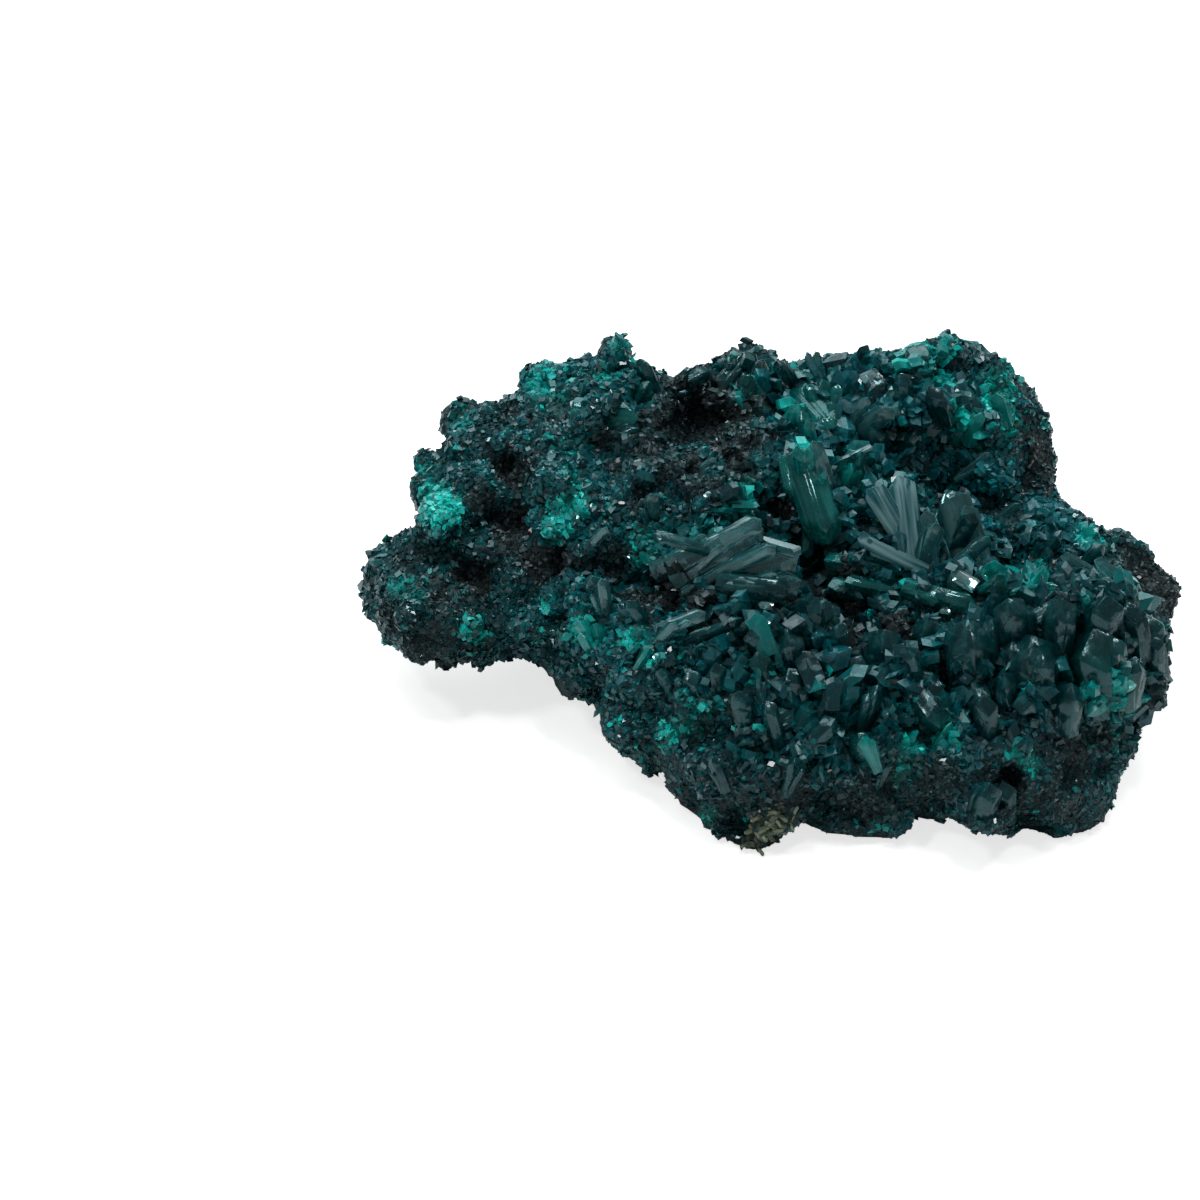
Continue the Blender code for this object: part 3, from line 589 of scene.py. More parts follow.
def growTogether(name, look, crystals):
    # each crystal with smaller ones beside it, all along one axis
    grown = []
    for number, (root, tip, width, flatness) in enumerate(crystals):
        axis = (tip - root).normalized()
        root = root - axis * crystalForm["root"]
        radius = width / 2 * mm
        blockers.append((*tip, *axis, (tip - root).length, radius))
        twist = 0 if flatness < crystalForm["flat"] else number * bunch["mainTwist"]
        if look.get("mirror"):
            root, axis, twist = facingLight(axis, tip, radius)
        grown.append(largeCrystal(root, tip, radius, twist, flatness, look["form"], name))
        sideways = turnTo(axis, twist)
        for extra in range(look["companions"]):
            angle = number + extra * bunch["turn"] + chance.uniform(-bunch["turnSpread"], bunch["turnSpread"])
            offset = Vector((math.cos(angle), math.sin(angle) * flatness, 0))
            offset = sideways @ (offset * radius * chance.uniform(*bunch["offset"]))
            share = chance.uniform(*bunch["share"])
            size = chance.uniform(*bunch["size"])
            end = root + (tip - root) * share + offset
            lean = Vector(chance.normal(0, bunch["lean"], 3)) * (tip - root).length
            start = root + offset * bunch["rootOffset"]
            turned = twist + extra * bunch["twist"]
            grown.append(largeCrystal(start, end + lean, radius * size, turned, flatness, look["form"], name))
    pieces[name] = joinAll(grown, name)


for name, look in largeCrystals.items():
    rise = look.get("lift", 0)
    growTogether(name, look, [
        (lifted(placeAt(*row[:3]), rise), lifted(placeAt(*row[3:6]), rise), row[6], look["flatness"])
        for row in look["rows"]])
for name, look in mediumCrystals.items():
    crystals = []
    for across, down, tipAcross, tipDown, rise, width, flatness in look["rows"]:
        seat = skin.ray_cast(eye, sightLine(across, down))[0]
        if seat is None:
            continue
        tip = eye + sightLine(tipAcross, tipDown) * ((seat - eye).length - rise * mm)
        crystals.append((seat, tip, width, flatness))
    growTogether(name, look, crystals)
blockers = np.array(blockers)
print("placed crystals:", len(blockers))

# matrix crust: the solid's own form, roughened
crust = {
    "voxel": 0.335 * mm,
    "bumps": ((2.6 * mm, 0.5 * mm), (0.9 * mm, 0.35 * mm)),  # size, height
    "fuller": (-4 * mm, 10 * mm, 0.25 * mm),  # from here on, over this width, by this much
    "footHeight": 1.2 * mm,
    "pitWidth": 0.95, "pitTop": 0.5 * mm,
}
matrixCrust = linkNew("matrixCrust", specimen.data.copy())
matrixCrust.data.materials.clear()
makeActive(matrixCrust)
setMode("EDIT")
bpy.ops.mesh.select_all(action="SELECT")
bpy.ops.mesh.remove_doubles(threshold=1e-6)
setMode("OBJECT")
remesh = matrixCrust.modifiers.new("remesh", "REMESH")
remesh.mode = "VOXEL"
remesh.voxel_size = crust["voxel"]
applyModifiers(matrixCrust)
feet = matrixCrust.vertex_groups.new(name="aboveFeet")
for vert in matrixCrust.data.vertices:
    feet.add([vert.index], min(1, max(0, vert.co.z / crust["footHeight"])), "REPLACE")
for size, height in crust["bumps"]:
    pattern = bpy.data.textures.new("grains", "VORONOI")
    pattern.noise_scale = size
    bumps = matrixCrust.modifiers.new("grains", "DISPLACE")
    bumps.texture = pattern
    bumps.strength = -height
    bumps.vertex_group = feet.name
applyModifiers(matrixCrust)
print("crust before cuts:", len(matrixCrust.data.polygons), "faces")

# pits for the large crystals: what lies inside one goes down to its root
points = meshArrays(matrixCrust.data)
outward = np.zeros(points.size)
matrixCrust.data.vertices.foreach_get("normal", outward)
outward = outward.reshape(-1, 3)
for x, y, z, ax, ay, az, length, radius in blockers:
    offset = points - (x, y, z)
    along = offset @ (ax, ay, az)
    radial = np.linalg.norm(offset - along[:, None] * (ax, ay, az), axis=1)
    floorLevel = -length + crystalForm["root"]
    inside = (radial < radius * crust["pitWidth"]) & (along > floorLevel) & (along < crust["pitTop"])
    points[inside] -= (along[inside] - floorLevel)[:, None] * (ax, ay, az)
# a little fuller towards the left, as its outline in the photograph
start, reach, height = crust["fuller"]
share = np.clip((start - points[:, 0]) / reach, 0, 1) * np.clip(points[:, 2] / crust["footHeight"] - 1, 0, 1)
points += outward * (share * height)[:, None]
points[:, 2] = np.maximum(points[:, 2], 0)
matrixCrust.data.vertices.foreach_set("co", points.ravel())
matrixCrust.data.update()
for shape in crystalShapes.values():
    bpy.data.objects.remove(shape)
print("crust:", len(matrixCrust.data.polygons), "faces")
pieces["matrixCrust"] = matrixCrust

# druse: small crystals joined in a few pieces; prisms where the photograph shows them, grains between them
# part: where, in mm across; widths in mm; slender: length by the width
druse = {
    "prismsLeft": {
        "form": "prism", "count": 2600, "seed": 21,
        "part": (-40, -6), "widths": (0.6, 1.7), "slender": (0.2, 1.0),
    },
    "prismsMiddle": {
        "form": "prism", "count": 3600, "seed": 22,
        "part": (-6, 12), "widths": (0.6, 1.9), "slender": (0.4, 1.4),
    },
    "prismsRight": {
        "form": "prism", "count": 3000, "seed": 23,
        "part": (12, 40), "widths": (0.6, 1.8), "slender": (0.4, 1.2),
    },
    "grainsLeft": {
        "form": "grain", "count": 16000, "seed": 31,
        "part": (-40, -9), "widths": (0.5, 1.35), "slender": (0.0, 0.45),
    },
    "grainsMiddle": {
        "form": "grain", "count": 12000, "seed": 32,
        "part": (-9, 10), "widths": (0.5, 1.2), "slender": (0.0, 0.4),
    },
    "grainsRight": {
        "form": "grain", "count": 12000, "seed": 33,
        "part": (10, 40), "widths": (0.5, 1.1), "slender": (0.0, 0.4),
    },
}
# how all of it grows
habit = {
    "clusters": 1500, "clusterLean": 0.6, "clusterTone": (0.6, 1.4), "clusterWarp": (0.8, 1.7), "seed": 9,
    "facing": (0.8, 0.5, 0.25, 0.08, 1.2),  # growth: plain, more upwards, less backwards, least, most
    "prismShare": (0.55, 0.02, 0.5),  # from this coarseness on, least, most
    "spare": 1.3, "widthShape": (1.4, 3.0), "mostWidth": 2.8, "widthPower": {"prism": 1, "grain": 0.5},
    "rockWidth": 0.2, "rockLength": 0.3,
    "shortWhereFine": (0.35, 0.5, 0.1), "upwards": 0.2, "leastUpright": 0.1, "gap": 0.02 * mm,
    "beside": 0.9, "lowestTip": 0.5 * mm, "lowestSeat": 0.6 * mm, "overBox": 0.1 * mm, "mostProud": 0.35 * mm,
    "ownLean": {"prism": 0.22, "grain": 0.5}, "skew": {"prism": 0.1, "grain": 0.35},
    "steep": {"prism": (0.7, 1.7), "grain": (0.8, 1.5)}, "flat": (0.3, 1.0),
    "hidden": 0.55,  # how deep its foot lies in the crust, by the width
    # the foot and raised values paint shade: darker at each crystal's foot and in the creases, lighter on the
    # lumps
    "ownTone": (0.85, 1.15), "footShade": 0.5, "creaseShadeByHeight": (1.5, 0.4, 1.5),  # by the mm, least, most
    "greenShare": (0.4, 1.2), "greenAll": (0.05, 0.04), "greenTone": (0.9, 1.5), "greenFade": 0.7,
    "lucky": 0.03, "luckyGreen": (0.3, 0.9),  # single small green ones
    "luckyWidth": 1.2 * mm, "luckyRock": 0.5, "placeSpread": 40 * mm,
}
mesh = matrixCrust.data
mesh.calc_loop_triangles()
crustPoints = meshArrays(mesh)
triangles = np.zeros(len(mesh.loop_triangles) * 3, int)
mesh.loop_triangles.foreach_get("vertices", triangles)
corners = crustPoints[triangles.reshape(-1, 3)]
crosses = np.cross(corners[:, 1] - corners[:, 0], corners[:, 2] - corners[:, 0])
areas = np.linalg.norm(crosses, axis=1) / 2
faceNormals = crosses / np.maximum(areas * 2, 1e-15)[:, None]
centres = corners.mean(axis=1)
print("crust area (mm2):", round(areas.sum() * 1e6))


def besideLarge(points, margin):
    inside = np.zeros(len(points), bool)
    for row in blockers:
        offset = points - row[:3]
        along = offset @ row[3:6]
        radial = np.linalg.norm(offset - along[:, None] * row[3:6], axis=1)
        inside |= (along < margin) & (along > -row[6]) & (radial < row[7] * habit["beside"] + margin)
    return inside


def seatsOn(weight, want, chance):
    picked = chance.choice(len(weight), want, p=weight / weight.sum())
    a, b = chance.random((2, want, 1))
    flip = a + b > 1
    a, b = np.where(flip, 1 - a, a), np.where(flip, 1 - b, b)
    first, second, third = corners[picked].transpose(1, 0, 2)
    return first + (second - first) * a + (third - first) * b, faceNormals[picked]


# crystals that grow side by side lean the same way
chance = np.random.default_rng(habit["seed"])
clusterSeats = seatsOn(areas, habit["clusters"], chance)[0]
clusterLeans = chance.normal(0, habit["clusterLean"], clusterSeats.shape)
clusterTones = chance.uniform(*habit["clusterTone"], len(clusterSeats))
clusterWarps = chance.uniform(*habit["clusterWarp"], len(clusterSeats))
clusterTree = KDTree(len(clusterSeats))
for index, seat in enumerate(clusterSeats):
    clusterTree.insert(seat, index)
clusterTree.balance()
nearestToCrust = [clusterTree.find(point)[1] for point in crustPoints]
forms = {"prism": (prismPoints, prismFaces), "grain": (grainPoints, grainFaces)}


def seatWeights(part, isPrism):
    # prisms where the druse is coarse, grains where it is fine
    x = centres[:, 0] / mm
    plain, upwards, behind, least, most = habit["facing"]
    facing = np.clip(plain + faceNormals[:, 2] * upwards - faceNormals[:, 1] * behind, least, most)
    weight = areas * facing * (x >= part[0]) * (x < part[1])
    coarse = coarsenessAt(centres)[0]
    if not isPrism:
        return weight * (1 / coarse)
    start, least, most = habit["prismShare"]
    return weight * (opennessAt(centres) * np.clip(coarse - start, least, most) / coarse**2)


def hasRoom(seats, tips):
    room = ~besideLarge(seats, habit["gap"]) & ~besideLarge(tips, habit["gap"])
    room &= (tips[:, 2] > habit["lowestTip"]) & (seats[:, 2] > habit["lowestSeat"])
    inner, outer = np.array(cadBox) + np.array([[-1], [1]]) * habit["overBox"]
    room &= ((tips > inner) & (tips < outer)).all(axis=1)
    # past the outline that the photograph shows, only low ones
    proud = np.array([(Vector(tip) - skin.find_nearest(tip)[0]).length for tip in tips])
    past = np.array([skin.ray_cast(eye, (Vector(tip) - eye).normalized())[0] is None for tip in tips])
    return room & (~past | (proud < habit["mostProud"]))


def heightOver(seat):
    place, normal = skin.find_nearest(seat)[:2]
    return (Vector(seat) - place).dot(normal)


def turnedAcross(axes, twist):
    # two directions across each axis
    helper = np.where(np.abs(axes[:, 2:]) < 0.9, (0, 0, 1), (1, 0, 0))
    across = np.cross(axes, helper)
    across /= np.linalg.norm(across, axis=1)[:, None]
    other = np.cross(axes, across)
    return across * np.cos(twist) + other * np.sin(twist), other * np.cos(twist) - across * np.sin(twist)


def joinedMesh(name, points, faces):
    # one mesh with the same faces for every crystal
    total, corners = points.shape[:2]
    loops = np.concatenate(faces)
    starts = np.cumsum([0] + [len(face) for face in faces])[:-1]
    order = np.arange(total)[:, None]
    mesh = bpy.data.meshes.new(name)
    mesh.vertices.add(total * corners)
    mesh.vertices.foreach_set("co", points.ravel())
    mesh.loops.add(total * len(loops))
    mesh.loops.foreach_set("vertex_index", (loops + order * corners).ravel().astype(np.int32))
    mesh.polygons.add(total * len(faces))
    mesh.polygons.foreach_set("loop_start", (starts + order * len(loops)).ravel().astype(np.int32))
    mesh.update(calc_edges=True)
    mesh.shade_flat()
    print(name, total, "crystals,", total * sum(len(face) - 2 for face in faces), "triangles")
    return mesh


def growDruse(name, form, count, seed, part, widths, slender):
    chance = np.random.default_rng(seed)
    isPrism = form == "prism"
    formPoints, formFaces = forms[form]
    seats, normals = seatsOn(seatWeights(part, isPrism), int(count * habit["spare"]), chance)
    nearest = np.array([clusterTree.find(seat)[1] for seat in seats])
    lean = clusterLeans[nearest] + chance.normal(0, habit["ownLean"][form], seats.shape)
    axes = normals + lean + (0, 0, habit["upwards"])
    axes /= np.linalg.norm(axes, axis=1)[:, None]
    growthAndShade = growthAt(seats, chance, warp=clusterWarps[nearest])
    width = widths[0] + (widths[1] - widths[0]) * chance.beta(*habit["widthShape"], len(seats))
    size, lightness = coarsenessAt(seats)
    width = np.minimum(width * size ** habit["widthPower"][form], habit["mostWidth"]) * mm
    length = width * chance.uniform(*slender, len(seats))
    width *= 1 - habit["rockWidth"] * growthAndShade[:, 1]
    length *= 1 - habit["rockLength"] * growthAndShade[:, 1]
    if isPrism:
        start, reach, least = habit["shortWhereFine"]
        length *= np.clip((size - start) / reach, least, 1)
    tips = seats + axes * length[:, None]
    upright = (axes * normals).sum(axis=1) > habit["leastUpright"]
    picked = np.flatnonzero(upright & hasRoom(seats, tips))[:count]
    seats, nearest, axes, tips, width, length, growthAndShade, lightness = (
        values[picked] for values in (seats, nearest, axes, tips, width, length, growthAndShade, lightness))
    # painted light and shade: lighter where a crystal stands on a lump of the crust, darker where it stands
    # in a crease
    raised = np.array([heightOver(seat) for seat in seats])
    byHeight, least, most = habit["creaseShadeByHeight"]
    lightness *= clusterTones[nearest] * np.clip(1 + raised / mm * byHeight, least, most)
    total = len(picked)
    across, other = turnedAcross(axes, chance.uniform(0, math.tau, (total, 1)))
    radius = width[:, None] / 2
    flat = chance.uniform(*habit["flat"], (total, 1))
    steep = chance.uniform(*habit["steep"][form], (total, 1))
    foot = -(length + width * habit["hidden"])[:, None]
    x, y, z = formPoints.T
    local = np.where(z < crystalForm["rootLevel"], foot, z * radius * steep)
    local = np.stack([x * radius, y * radius * flat, local], axis=2)
    # skewed, so that no two look alike
    skew = chance.normal(0, habit["skew"][form], (2, total, 1))
    local[:, :, 0] += local[:, :, 2] * skew[0]
    local[:, :, 1] += local[:, :, 2] * skew[1]
    points = tips[:, None] + (local[:, :, None] @ np.stack([across, other, axes], axis=1)[:, None])[:, :, 0]
    points[:, :, 2] = np.maximum(points[:, :, 2], 0)
    mesh = joinedMesh(name, points, formFaces)
    # paler at the tip than at the foot: painted shade where each crystal meets the crust and its neighbours
    depth = np.clip(local[:, :, 2] / foot, 0, 1)
    tone = chance.uniform(*habit["ownTone"], (total, 1)) - depth * habit["footShade"]
    tone *= lightness[:, None]
    lucky = chance.random(total) < habit["lucky"]
    lucky &= (growthAndShade[:, 1] < habit["luckyRock"]) & (width < habit["luckyWidth"])
    lucky = lucky * chance.uniform(*habit["luckyGreen"], total)
    green = growthAndShade[:, 0] * chance.uniform(*habit["greenShare"], total)
    green = np.clip(green + lucky + chance.normal(*habit["greenAll"], total), 0, 1)
    greenTone = chance.uniform(*habit["greenTone"], (total, 1))
    tone += (greenTone - tone) * green[:, None] ** habit["greenFade"]
    values = np.zeros((total, len(formPoints), 4))
    values[:, :, 0] = green[:, None]
    values[:, :, 1] = growthAndShade[:, 1:2]
    values[:, :, 2] = tone
    values[:, :, 3] = growthAndShade[:, 2:3]
    pointValues(mesh, "growthAndShade", "FLOAT_COLOR", "color", values)
    local += chance.uniform(0, habit["placeSpread"], (total, 1, 3))
    pointValues(mesh, "crystalPlace", "FLOAT_VECTOR", "vector", local)
    return linkNew(name, mesh)


for name, look in druse.items():
    pieces[name] = growDruse(name, **look)

# growth and lightness of the crust and the larger crystals; the dark marks in it are partly painted shade
for name in ("matrixCrust", *largeCrystals, *mediumCrystals):
    mesh = pieces[name].data
    points = meshArrays(mesh)
    points[:, 2] = np.maximum(points[:, 2], 0)
    mesh.vertices.foreach_set("co", points.ravel())
    values = np.zeros((len(points), 4))
    warp = clusterWarps[nearestToCrust] if name == "matrixCrust" else 1.0
    values[:, (0, 1, 3)] = growthAt(points, np.random.default_rng(spread["seed"]), spread["ragged"], warp)
    plain, green = spread["lightnessByGreen"]
    values[:, 2] = coarsenessAt(points)[1] * (plain + green * values[:, 0])
    pointValues(mesh, "growthAndShade", "FLOAT_COLOR", "color", values)

# finishes
finishes = {
    "deepTeal": (0.0018, 0.080, 0.100, 1),
    "brightTeal": (0.003, 0.50, 0.44, 1),
    # black rock, also painted into the vug and the crevices as shade
    "blackRockAndShade": (0.0040, 0.0180, 0.0220, 1),
    "brownRock": (0.034, 0.036, 0.038, 1),
    "paleCrust": (0.075, 0.090, 0.055, 1),
    "reflection": (0.6, 0.94, 1, 1),
    "greenClouds": (0.2, 1.8), "rockClouds": (0.5, 1.7), "cloudSize": 260.0, "veilSize": 800.0,
    "hazeSize": 700.0, "lineDepth": 0.12 * mm, "sharpEdge": (0.99, 0.85), "coatOnRock": 0.5,
    "clearEdge": 0.06 * mm, "veil": (-0.12, 0.25), "greenTint": 0.6,
}


def makeGroup(name, inputs, outputs):
    group = bpy.data.node_groups.new(name, "ShaderNodeTree")
    for label, kind, value in inputs:
        socket = group.interface.new_socket(label, in_out="INPUT", socket_type=kind)
        if value is not None:
            socket.default_value = value
    for label, kind in outputs:
        group.interface.new_socket(label, in_out="OUTPUT", socket_type=kind)
    start = group.nodes.new("NodeGroupInput")
    end = group.nodes.new("NodeGroupOutput")
    return group, start, end


def addNode(tree, kind, settings=None, **values):
    # i0, i1 and so on are inputs by their number, any other name is an input's own
    node = tree.nodes.new(kind)
    for key, value in (settings or {}).items():
        setattr(node, key, value)
    for key, value in values.items():
        socket = node.inputs[int(key[1:]) if key[1:].isdigit() else key]
        if isinstance(value, bpy.types.NodeSocket):
            tree.links.new(value, socket)
        else:
            socket.default_value = value
    return node


def setInputs(node, values):
    for label, value in values.items():
        node.inputs[label].default_value = value


def mixColour(tree, factor, first, second):
    return addNode(tree, "ShaderNodeMix", {"data_type": "RGBA"}, i0=factor, i6=first, i7=second).outputs[2]


def scalar(tree, operation, *values):
    values = {"i" + str(index): value for index, value in enumerate(values)}
    return addNode(tree, "ShaderNodeMath", {"operation": operation}, **values).outputs[0]


def between(tree, mask, low, high):
    return scalar(tree, "MULTIPLY_ADD", mask, high - low, low)


def vectorMath(tree, operation, first, second):
    node = addNode(tree, "ShaderNodeVectorMath", {"operation": operation}, i0=first, i1=second)
    return node.outputs["Value" if operation == "DOT_PRODUCT" else "Vector"]


def scaled(tree, colour, factor):
    return addNode(tree, "ShaderNodeVectorMath", {"operation": "SCALE"}, i0=colour, i3=factor).outputs[0]


def noise(tree, place, size, detail, roughness=0.5):
    values = {"Vector": place, "Scale": size, "Detail": detail, "Roughness": roughness}
    return addNode(tree, "ShaderNodeTexNoise", **values).outputs["Fac"]


def placeGroup(tree, group, **values):
    return addNode(tree, "ShaderNodeGroup", {"node_tree": group}, **values).outputs


# colour of the growth: deep teal to bright teal by the attribute, times its lightness, which holds painted
# shade; black and brown where rock shows and where the dark marks paint shade
growthAndShadeColour, start, end = makeGroup(
    "growthAndShadeColour",
    (("Deep", "NodeSocketColor", finishes["deepTeal"]),
     ("Bright", "NodeSocketColor", finishes["brightTeal"])),
    (("Colour", "NodeSocketColor"), ("Green", "NodeSocketFloat"), ("RockAndShade", "NodeSocketFloat")))
tree = growthAndShadeColour
attribute = addNode(tree, "ShaderNodeAttribute", {"attribute_name": "growthAndShade"})
parts = addNode(tree, "ShaderNodeSeparateColor", None, Color=attribute.outputs["Color"]).outputs
place = addNode(tree, "ShaderNodeTexCoord").outputs["Object"]
cloud = noise(tree, place, finishes["cloudSize"], 3.0, 0.6)
green = scalar(tree, "MULTIPLY", parts[0], between(tree, cloud, *finishes["greenClouds"]))
green = scalar(tree, "MINIMUM", green, 1.0)
rockAndShade = scalar(tree, "MULTIPLY", parts[1], between(tree, cloud, *finishes["rockClouds"]))
rockAndShade = scalar(tree, "MINIMUM", rockAndShade, 1.0)
body = mixColour(tree, green, start.outputs["Deep"], start.outputs["Bright"])
# times the lightness, which holds painted shade at the crystal feet and in the creases
body = scaled(tree, body, parts[2])
# dark marks: rock, and painted shade in the vug and the crevices
dark = mixColour(tree, cloud, finishes["blackRockAndShade"], finishes["brownRock"])
body = mixColour(tree, rockAndShade, body, dark)
body = mixColour(tree, attribute.outputs["Alpha"], body, finishes["paleCrust"])
tree.links.new(body, end.inputs["Colour"])
tree.links.new(green, end.inputs["Green"])
tree.links.new(rockAndShade, end.inputs["RockAndShade"])

# small crystal faces: every cell leans its own way
cellFaces, start, end = makeGroup(
    "cellFaces", (("Size", "NodeSocketFloat", 2500.0),),
    (("Height", "NodeSocketFloat"), ("Tone", "NodeSocketFloat")))
tree = cellFaces
place = addNode(tree, "ShaderNodeTexCoord").outputs["Object"]
cells = addNode(tree, "ShaderNodeTexVoronoi", None, Vector=place, Scale=start.outputs["Size"]).outputs
offset = vectorMath(tree, "SUBTRACT", place, cells["Position"])
lean = vectorMath(tree, "SUBTRACT", cells["Color"], (0.5, 0.5, 0.5))
tree.links.new(vectorMath(tree, "DOT_PRODUCT", offset, lean), end.inputs["Height"])
tone = addNode(tree, "ShaderNodeSeparateColor", None, Color=cells["Color"]).outputs[0]
tree.links.new(tone, end.inputs["Tone"])

# growth lines that run along a crystal, and its inner clouds
growthLines, start, end = makeGroup(
    "growthLines",
    (("Size", "NodeSocketFloat", 2600.0), ("Stretch", "NodeSocketFloat", 0.12)),
    (("Height", "NodeSocketFloat"), ("Cloud", "NodeSocketFloat"), ("Haze", "NodeSocketFloat")))
tree = growthLines
place = addNode(tree, "ShaderNodeAttribute", {"attribute_name": "crystalPlace"}).outputs["Vector"]
squeeze = addNode(tree, "ShaderNodeCombineXYZ", None, X=1.0, Y=1.0, Z=start.outputs["Stretch"]).outputs[0]
stretched = vectorMath(tree, "MULTIPLY", place, squeeze)
tree.links.new(noise(tree, stretched, start.outputs["Size"], 1.0), end.inputs["Height"])
tree.links.new(noise(tree, stretched, finishes["veilSize"], 2.0), end.inputs["Cloud"])
tree.links.new(noise(tree, place, finishes["hazeSize"], 2.0), end.inputs["Haze"])


def newMaterial(name):
    material = bpy.data.materials.new(name)
    material.use_nodes = True
    tree = material.node_tree
    shader = tree.nodes["Principled BSDF"]
    return material, tree, shader


def edgeLight(tree, colour, width, strength):
    # painted highlight: the base colour is paler along the crystal edges
    rounded = addNode(tree, "ShaderNodeBevel", {"samples": 4}, Radius=width).outputs[0]
    flat = addNode(tree, "ShaderNodeNewGeometry").outputs["Normal"]
    same = vectorMath(tree, "DOT_PRODUCT", rounded, flat)
    none, full = finishes["sharpEdge"]
    edge = addNode(tree, "ShaderNodeMapRange", None, Value=same, i1=none, i2=full).outputs[0]
    return scaled(tree, colour, between(tree, edge, 1.0, 1.0 + strength))


def setFinish(tree, shader, look, colour, haze, reliefs, rockAndShade=None):
    # colour, roughness and gloss, with bumps over each other: height in metres, strength
    tree.links.new(colour, shader.inputs["Base Color"])
    tree.links.new(between(tree, haze, *look["roughness"]), shader.inputs["Roughness"])
    normal = None
    for height, strength in reliefs:
        bump = addNode(tree, "ShaderNodeBump", None, Strength=strength, Distance=1.0, Height=height)
        if normal is not None:
            tree.links.new(normal, bump.inputs["Normal"])
        normal = bump.outputs[0]
    tree.links.new(normal, shader.inputs["Normal"])
    setInputs(shader, {
        "IOR": look["ior"], "Specular IOR Level": look["gloss"], "Specular Tint": finishes["reflection"],
        "Coat Weight": look["coat"], "Coat Roughness": look["coatRoughness"],
    })
    if rockAndShade is not None:
        coat = between(tree, rockAndShade, look["coat"], look["coat"] * finishes["coatOnRock"])
        tree.links.new(coat, shader.inputs["Coat Weight"])


def rockFinish(name, look):
    material, tree, shader = newMaterial(name)
    tint = placeGroup(tree, growthAndShadeColour)
    coarse = placeGroup(tree, cellFaces, Size=look["coarse"])
    fine = placeGroup(tree, cellFaces, Size=look["fine"])
    # random speckle, with the whole crust halved as painted shade in the gaps between the grains
    colour = scaled(tree, tint["Colour"], between(tree, fine["Tone"], *look["speckleAndGapShade"]))
    reliefs = (coarse["Height"], look["relief"]), (fine["Height"], look["relief"])
    setFinish(tree, shader, look, colour, coarse["Tone"], reliefs, tint["RockAndShade"])
    return material


def crystalRelief(tree, look, lines):
    cells = placeGroup(tree, cellFaces, Size=look["cells"])
    height = scalar(tree, "MULTIPLY", lines["Height"], finishes["lineDepth"])
    return (height, look["relief"]), (cells["Height"], look["cellRelief"])


def druseFinish(name, look):
    material, tree, shader = newMaterial(name)
    tint = placeGroup(tree, growthAndShadeColour)
    lines = placeGroup(tree, growthLines, Size=look["lines"])
    colour = scaled(tree, tint["Colour"], between(tree, lines["Cloud"], *look["clouds"]))
    colour = edgeLight(tree, colour, look["edgeWidth"], look["edgeLight"])
    setFinish(tree, shader, look, colour, lines["Haze"], crystalRelief(tree, look, lines), tint["RockAndShade"])
    return material


def clearFinish(name, look):
    material, tree, shader = newMaterial(name)
    lines = placeGroup(tree, growthLines, Size=look["lines"], Stretch=look["stretch"])
    tint = placeGroup(tree, growthAndShadeColour)
    streaks = scalar(tree, "MULTIPLY_ADD", lines["Height"], look["streaks"], lines["Cloud"])
    low, high = (0.5 + 0.5 * look["streaks"] + step for step in finishes["veil"])
    veil = addNode(tree, "ShaderNodeMapRange", None, Value=streaks, i1=low, i2=high).outputs[0]
    body = mixColour(tree, veil, look["dark"], look["pale"])
    green = scalar(tree, "MULTIPLY", tint["Green"], finishes["greenTint"])
    body = mixColour(tree, green, body, finishes["brightTeal"])
    body = edgeLight(tree, body, finishes["clearEdge"], look["edgeLight"])
    setFinish(tree, shader, look, body, lines["Haze"], crystalRelief(tree, look, lines))
    setInputs(shader, {"Transmission Weight": look["clear"]})
    inside = addNode(tree, "ShaderNodeVolumeAbsorption")
    setInputs(inside, {"Color": look["absorbed"], "Density": look["density"]})
    tree.links.new(inside.outputs[0], tree.nodes["Material Output"].inputs["Volume"])
    return material


druseLooks = {
    "druseGrain": {
        "lines": 3000.0, "cells": 1800.0, "clouds": (0.6, 1.4), "edgeWidth": 0.04 * mm, "edgeLight": 1.2,
        "relief": 0.15, "cellRelief": 0.4, "roughness": (0.15, 0.45), "ior": 1.5, "gloss": 0.35,
        "coat": 0.7, "coatRoughness": 0.05,
    },
    "drusePrism": {
        "lines": 2600.0, "cells": 1700.0, "clouds": (0.4, 1.6), "edgeWidth": 0.05 * mm, "edgeLight": 1.5,
        "relief": 0.3, "cellRelief": 0.6, "roughness": (0.12, 0.4), "ior": 1.55, "gloss": 0.4, "coat": 0.5,
        "coatRoughness": 0.06,
    },
}
